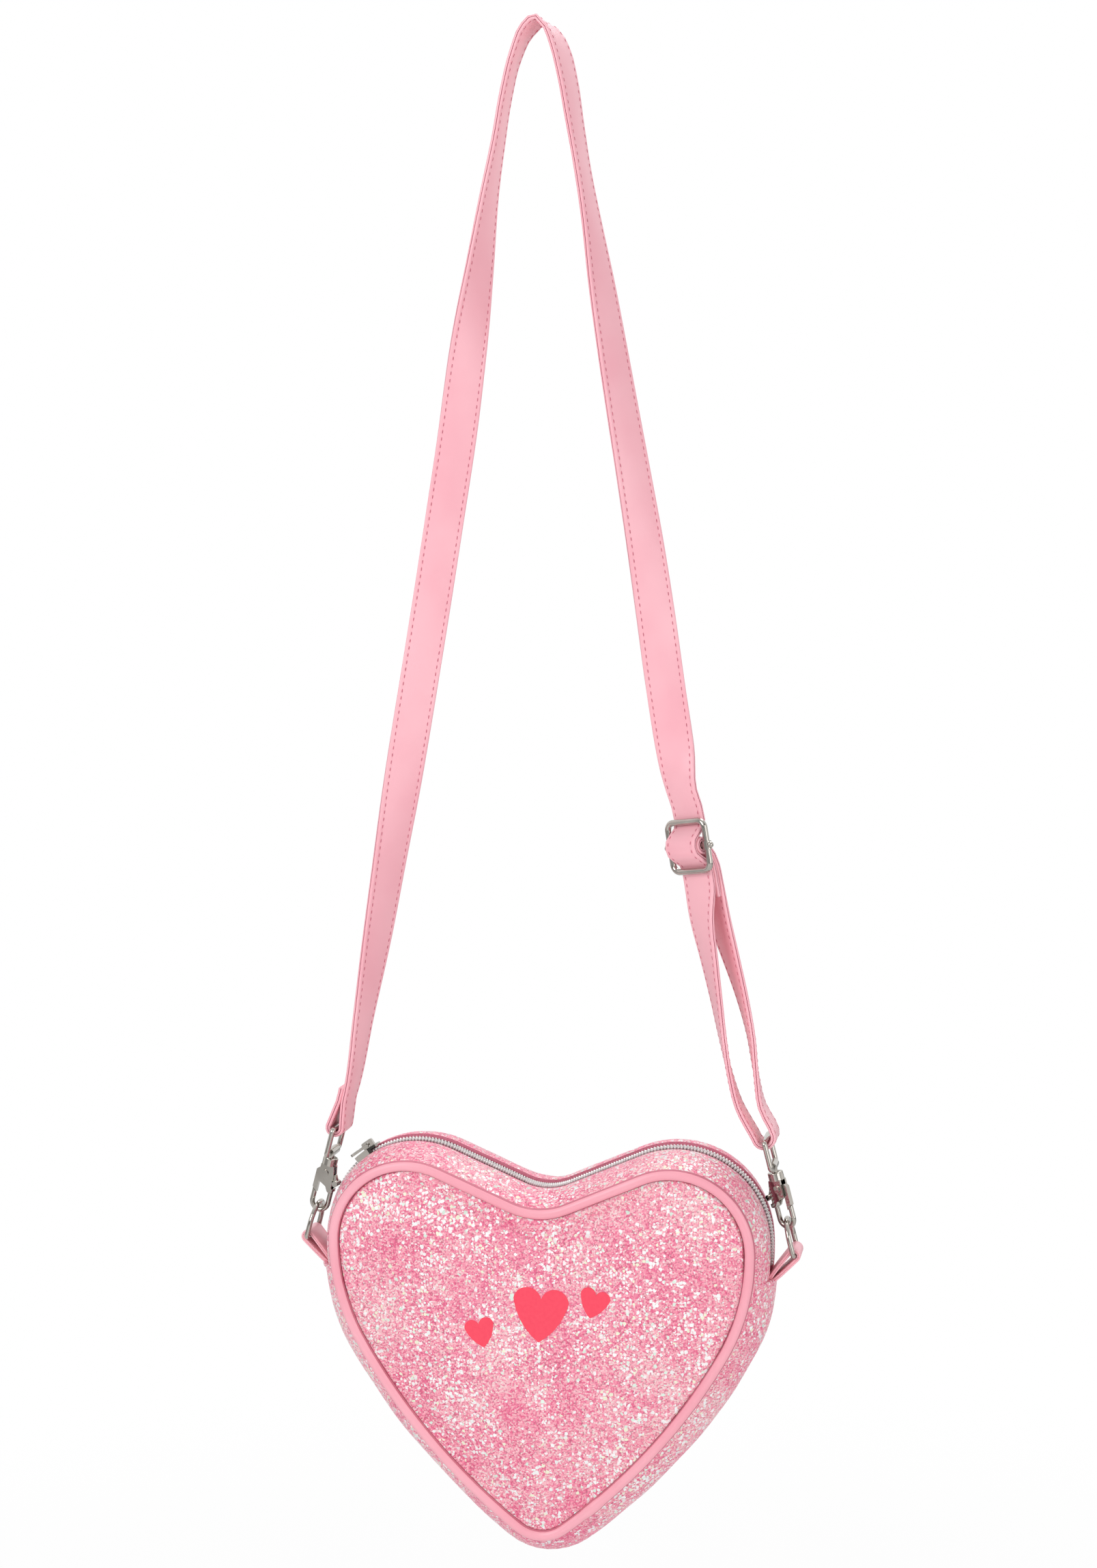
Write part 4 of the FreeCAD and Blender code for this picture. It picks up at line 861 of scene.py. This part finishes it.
gusset_bm = sweep(lambda i: cloth_section(bottom_arc(i), CLOTH), bottom_frames)
band = add_piece("bottom_glitter_gusset", gusset_bm, "bag", "glitter_cloth", glitter_cloth)
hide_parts("bottom_gusset")
for name, i in (("right", 0), ("left", len(bottom_frames) - 1)):
    # where the bands meet, the lower one's folded end makes a low ridge over the seam
    ridge = [bottom_frames[i] @ Vector(((n - FOLD_SINK) * MM, y * MM, 0.0)) / MM for n, y in bottom_arc(i)]
    over_seam = bottom_frames[i].to_3x3() @ Vector((0, 0, 1))
    ridge_frames = framed(ridge, lambda k: over_seam)
    ridge_bm = sweep(lambda k: round_section(FOLD_R, 10), ridge_frames)
    add_piece(name + "_side_seam_fold", ridge_bm, "bag", "glitter_cloth", glitter_cloth)
for name, side in (("front", -1), ("rear", 1)):
    band_bm = sweep(lambda i, side=side: zip_section(i, side), top_frames)
    # the band's end face at the zipper mouth takes the tape's deep rose: painted shade of the gap beside the
    # chain
    corner = band_bm.verts.layers.int["corner"]
    for face in band_bm.faces:
        if {v[corner] for v in face.verts} == {10, 11}:
            face.material_index = 1
    band = add_piece(name + "_glitter_zip_band", band_bm, "bag", "glitter_cloth", glitter_cloth, tape_weave_and_band_shade)
    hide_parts("zip_gusset_" + name)

# Piping: a bias strip of the strap's vinyl folded round a cotton cord and caught in both panel seams
piping_vinyl = vinyl("polyurethane_piping_vinyl", "#FCB4C1", "#F9A9B8", 0.7, 0.24)
# darker vinyl for the sides of the piping: painted shade of the seam crease
piping_crease_shade = vinyl("piping_vinyl_painted_crease_shade", "#D98193", "#CB7185", 0.7, 0.5)
PIPING_SIDES = 30
SEAM_REACH = 37.0        # degrees of the tube, each side of a seam
SEAM_BACK = 13.0
PIPING_CORD_R = 1.4
LAP = 0.32
LAP_AT = 26.0            # from the heart's tip
LAP_HALF = 3.4

cotton_cord, tree, place = new_material("twisted_cotton_cord")
strands = add_node(tree, "TexNoise", {"Vector": place, "Scale": 1000.0 / 0.9})
hue = add_node(tree, "Mix", {
    "Factor": strands.outputs["Fac"], 6: "#DAD7CF", 7: "#F5F3EE"}, data_type="RGBA")
yarn = add_node(tree, "BsdfPrincipled", {"Base Color": hue.outputs[2], "Roughness": 0.85})
add_node(tree, "OutputMaterial", {"Surface": yarn.outputs[0]})


def piping_section(i):
    # near the tip the end of the strip laps over its start
    x, z, nx, nz = whole_run[i]
    lap = LAP if abs(math.dist((x, z), (0.0, z_tip - TIP_R)) - LAP_AT) < LAP_HALF and x > 0 else 0.0
    r = PIPING_R + lap + 0.07 * noise.noise(Vector((x, z, 0.0)) / 7.0)
    return round_section(r, PIPING_SIDES)


for name, side in (("front", -1), ("back", 1)):
    seam_frames = outline_frames(whole_run, side * half_depth)
    tube_bm = sweep(piping_section, seam_frames, loop=True)
    corner = tube_bm.verts.layers.int["corner"]
    for face in tube_bm.faces:
        # darker vinyl along both sides of the strip, where it dives into the stitched seam: painted shade of
        # the crease
        turns = [v[corner] * 2 * math.pi / PIPING_SIDES for v in face.verts]
        beside = min(abs(math.cos(t)) for t in turns) > math.cos(math.radians(SEAM_REACH))
        if beside and min(side * math.sin(t) for t in turns) > -math.sin(math.radians(SEAM_BACK)):
            face.material_index = 1
    tube = add_piece(name + "_vinyl_piping", tube_bm, "bag", "piping_vinyl", piping_vinyl, piping_crease_shade)
    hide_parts(name + "_piping")
    core_bm = sweep(lambda i: round_section(PIPING_CORD_R - PLY_AIR, 8), seam_frames, loop=True)
    core = add_piece(name + "_cotton_piping_cord", core_bm, "bag", "cord", cotton_cord)
    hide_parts(name + "_piping_cord")

# Zipper: two woven polyester tapes under the folded band edges, with a metallised coil of teeth sewn on each.
# Past the slider, at the left end, the two rows stand a little apart.
TAPE_WIDTH = 8.2
TAPE_SLIT = 1.6
COIL_PITCH = 1.15
COIL_WIDTH = 2.25
COIL_HEIGHT = 2.05
COIL_PARTED = 0.75
COIL_END = 4.2           # bare tape at each end of the rows
COIL_AIR = 0.02
RIB_SLANT = 0.48
SLIDER_ANGLE = 125.0
slit = TAPE_SLIT / 2
tape_top = TAPE_LEVEL + TAPE_T
tape_section = [(TAPE_LEVEL - TAPE_FALL, -slit - TAPE_WIDTH), (tape_top - TAPE_FALL, -slit - TAPE_WIDTH),
                (tape_top, -mouth), (tape_top, -slit), (TAPE_LEVEL, -slit), (TAPE_LEVEL, -mouth)]
for name, side in (("front", 1), ("rear", -1)):
    tape_bm = sweep(lambda i, side=side: [(n, side * y) for n, y in tape_section], top_frames)
    tape = add_piece(name + "_woven_zip_tape", tape_bm, "bag", "zip_tape", tape_weave_and_band_shade)
    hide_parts("zipper_tape_" + name)

# Metallised nylon monofilament: silver film over plastic, each turn of the coil a rounded rib
silver_coil, tree, place = new_material("metallised_nylon_coil")
specks = add_node(tree, "TexNoise", {"Vector": place, "Scale": 1000.0 / 1.4, "Detail": 2.0})
hue = add_node(tree, "Mix", {"Factor": specks.outputs["Fac"], 6: "#CBC8C7", 7: "#F5F4F3"}, data_type="RGBA")
rough = add_node(tree, "MapRange", {"Value": specks.outputs["Fac"], "To Min": 0.22, "To Max": 0.42})
film = add_node(tree, "BsdfPrincipled", {
    "Base Color": hue.outputs[2], "Metallic": 0.35, "Roughness": rough.outputs[0]})
add_node(tree, "OutputMaterial", {"Surface": film.outputs[0]})
coil_base = tape_top + PLY_AIR
a = math.radians(SLIDER_ANGLE)
slider_at = Vector((-x_lobe + LOBE_R * math.cos(a), 0, z_lobe + LOBE_R * math.sin(a))) * MM
gaps = [(p.translation - o.translation).length / MM for o, p in zip(top_frames, top_frames[1:])]
opening = sum(gaps)
nearest = min(range(len(top_frames)), key=lambda i: (top_frames[i].translation - slider_at).length)
slider_run = sum(gaps[:nearest])
SLIDER_TRAVEL = LOBE_R * math.radians(50.0)
rib_form = Matrix.Diagonal((COIL_HEIGHT * 0.49 * MM, COIL_WIDTH * 0.5 * MM, 0.5 * MM, 1.0))
for name, side in (("front", -1), ("rear", 1)):
    rib_places = {"coil": [], "opening_coil": []}
    first = COIL_END + (COIL_PITCH / 2 if side > 0 else 0.0)
    for due, spot in spaced(top_frames, first, COIL_PITCH):
        if due >= opening - COIL_END:
            break
        apart = COIL_PARTED if due < slider_run else 0.0
        seat = Matrix.Translation(((coil_base + COIL_HEIGHT * 0.48) * MM,
                                   side * (COIL_AIR + apart + COIL_WIDTH / 2) * MM, 0.0))
        row = "opening_coil" if slider_run <= due < slider_run + SLIDER_TRAVEL + 5.0 else "coil"
        rib_places[row].append(spot @ seat @ Matrix.Rotation(side * RIB_SLANT, 4, "X") @ rib_form)
    for row, places in rib_places.items():
        rib_bm = bmesh.new()
        bmesh.ops.create_uvsphere(rib_bm, u_segments=8, v_segments=6, radius=1.0)
        coil = add_piece(name + "_zip_" + row, repeated(rib_bm, places), "bag", "zip_coil", silver_coil)
        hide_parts("zipper_coil_" + name)
        if row == "opening_coil":
            # the slider's wedge presses these turns aside as it runs over them
            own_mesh(coil)

# Tabs: a short length of the strap's vinyl folded round each D ring's bar, both ends caught in the side seam
TAB_WIDTH = 14.0
TAB_T = 1.6
RING_WIRE_R = 1.05
RING_AIR = 0.15
TAB_TUCK = 1.8
ROOT_OUT = 0.4           # how far the tab stands off the gusset where it leaves the seam
eye_r = RING_WIRE_R + RING_AIR
a = math.radians(-SEAM_ANGLE)
root_r = SHOULDER_R + GUSSET_BULGE + ROOT_OUT
root = Vector((x_shoulder + root_r * math.cos(a), 0, z_lobe + root_r * math.sin(a)))
bar = Vector((BAR_X, 0, BAR_Z))
reach = (bar - root).length
out = (bar - root).normalized()
side_dir = Vector((-out.z, 0, out.x))
tuck = Vector((math.cos(a), 0, math.sin(a)))
half_w = TAB_WIDTH / 2
half_t = TAB_T / 2
tab_quarter = [(0.0, half_t), (half_w - 1.9, half_t), (half_w - 1.5, half_t - 0.1), (half_w - 1.1, half_t),
               (half_w - 0.3, half_t), (half_w, half_t - 0.3), (half_w, 0.14), (half_w - 0.25, 0.0)]
tab_section = whole_section(tab_quarter)
ride_r = eye_r + half_t


def tab_side(f, sense):
    # on the upper or lower half of the tab, a share f of the way from the seam to the ring's bar
    return root + out * reach * f + side_dir * sense * (half_t + (ride_r - half_t) * f ** 0.7)


tab_path = [root - tuck * TAB_TUCK + side_dir * half_t, root + side_dir * half_t]
tab_path += [tab_side(f, 1) for f in (0.3, 0.6, 0.85)]
for k in range(11):
    a = math.radians(90.0 - 18.0 * k)
    tab_path.append(bar + (side_dir * math.sin(a) + out * math.cos(a)) * ride_r)
tab_path += [tab_side(f, -1) for f in (0.85, 0.6, 0.3)]
tab_path += [root - side_dir * half_t, root - tuck * TAB_TUCK - side_dir * half_t]
tab_frames = framed(tab_path, lambda i: Vector((0, 1, 0)))
for name, flip in (("right", 1), ("left", -1)):
    tab_bm = sweep(lambda i: tab_section, tab_frames)
    if flip < 0:
        bmesh.ops.scale(tab_bm, vec=(-1, 1, 1), verts=tab_bm.verts)
        bmesh.ops.recalc_face_normals(tab_bm, faces=tab_bm.faces)
    tab = add_piece(name + "_vinyl_tab", tab_bm, "bag", "strap_vinyl", strap_vinyl)
    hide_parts(name + "_tab")

# Inside: foam behind each panel, and a thin plain-woven lining on the panels and the lower gusset
soft_foam, tree, place = new_material("polyurethane_foam_sheet")
pores = add_node(tree, "TexVoronoi", {"Vector": place, "Scale": 1000.0 / 0.8})
hue = add_node(tree, "Mix", {
    "Factor": pores.outputs["Distance"], 6: "#F3F1EA", 7: "#D9D5CA"}, data_type="RGBA")
relief = add_node(tree, "Bump", {
    "Height": pores.outputs["Distance"], "Strength": 0.5, "Distance": 0.2 * MM})
foam = add_node(tree, "BsdfPrincipled", {
    "Base Color": hue.outputs[2], "Roughness": 0.9, "Normal": relief.outputs[0]})
add_node(tree, "OutputMaterial", {"Surface": foam.outputs[0]})
plain_lining, tree, place = new_material("plain_woven_lining")
warp = add_node(tree, "TexWave", {"Vector": place, "Scale": 1000.0 / 0.5 / 6.28}, bands_direction="X")
weft = add_node(tree, "TexWave", {"Vector": place, "Scale": 1000.0 / 0.5 / 6.28}, bands_direction="Z")
threads = add_node(tree, "Math", {0: warp.outputs["Fac"], 1: weft.outputs["Fac"]}, operation="MULTIPLY")
hue = add_node(tree, "Mix", {"Factor": threads.outputs[0], 6: "#E08C9E", 7: "#F2B3C0"}, data_type="RGBA")
relief = add_node(tree, "Bump", {"Height": threads.outputs[0], "Strength": 0.3, "Distance": 0.1 * MM})
cloth = add_node(tree, "BsdfPrincipled", {
    "Base Color": hue.outputs[2], "Roughness": 0.65, "Normal": relief.outputs[0]})
add_node(tree, "OutputMaterial", {"Surface": cloth.outputs[0]})
for name, side in (("front", -1), ("back", 1)):
    pad_bm = heart_panel(side, CLOTH + PLY_AIR, FOAM)
    pad = add_piece(name + "_foam_stiffener", pad_bm, "bag", "foam", soft_foam)
    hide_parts(name + "_stiffener")
    cover_bm = heart_panel(side, CLOTH + FOAM + 2 * PLY_AIR, LINING)
    cover = add_piece(name + "_woven_lining", cover_bm, "bag", "lining_cloth", plain_lining)
    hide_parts(name + "_lining")


def lining_section(i):
    return cloth_section([(n - CLOTH - 2 * PLY_AIR, y) for n, y in bottom_arc(i)], LINING)


cover_bm = sweep(lining_section, bottom_frames)
cover = add_piece("gusset_woven_lining", cover_bm, "bag", "lining_cloth", plain_lining)
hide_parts("gusset_lining")

# Front motif: three plain hearts cut from flat coral vinyl film and pressed on the middle of the front panel
coral_film, tree, place = new_material("flat_coral_vinyl_film")
bumps = add_node(tree, "TexNoise", {"Vector": place, "Scale": 1000.0 / 1.6, "Detail": 2.0})
hue = add_node(tree, "Mix", {"Factor": bumps.outputs["Fac"], 6: "#F83E59", 7: "#FF5068"}, data_type="RGBA")
relief = add_node(tree, "Bump", {"Height": bumps.outputs["Fac"], "Strength": 0.3, "Distance": 0.2 * MM})
film = add_node(tree, "BsdfPrincipled", {
    "Base Color": hue.outputs[2], "Roughness": 0.38, "Normal": relief.outputs[0], "IOR": 1.5})
add_node(tree, "OutputMaterial", {"Surface": film.outputs[0]})
FILM_T = 0.35
motif_bm = bmesh.new()
for size, cx, cz, tilt in ((13.0, 1.95, z_mid + 2.99, -4.0), (7.02, -23.01, z_mid - 5.98, 14.0),
                           (7.02, 24.05, z_mid + 8.06, -16.0)):
    lobe = arc_through((0.0, 0.42), (0.44, 0.76), (0.88, 0.38), 14)[:-1]
    flank = arc_through((0.88, 0.38), (0.62, -0.30), (0.0, -0.95), 12)
    half = lobe + flank
    ring = half + [(-x, z) for x, z in half[-2:0:-1]]
    heart_at = Matrix.Translation(Vector((cx, -half_depth - CROWN - FILM_T, cz)) * MM)
    turn = Matrix.Rotation(-math.radians(tilt), 4, "Y")
    verts = [motif_bm.verts.new(heart_at @ turn @ Vector((x * size * MM, 0, z * size * MM))) for x, z in ring]
    face = motif_bm.faces.new(verts)
    grown = bmesh.ops.extrude_face_region(motif_bm, geom=[face])["geom"]
    rear_verts = [g for g in grown if isinstance(g, bmesh.types.BMVert)]
    bmesh.ops.translate(motif_bm, vec=(0, FILM_T * MM, 0), verts=rear_verts)
bmesh.ops.recalc_face_normals(motif_bm, faces=motif_bm.faces)
motif = add_piece("front_coral_hearts", motif_bm, "bag", "motif_vinyl", coral_film)
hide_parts("front_applique")
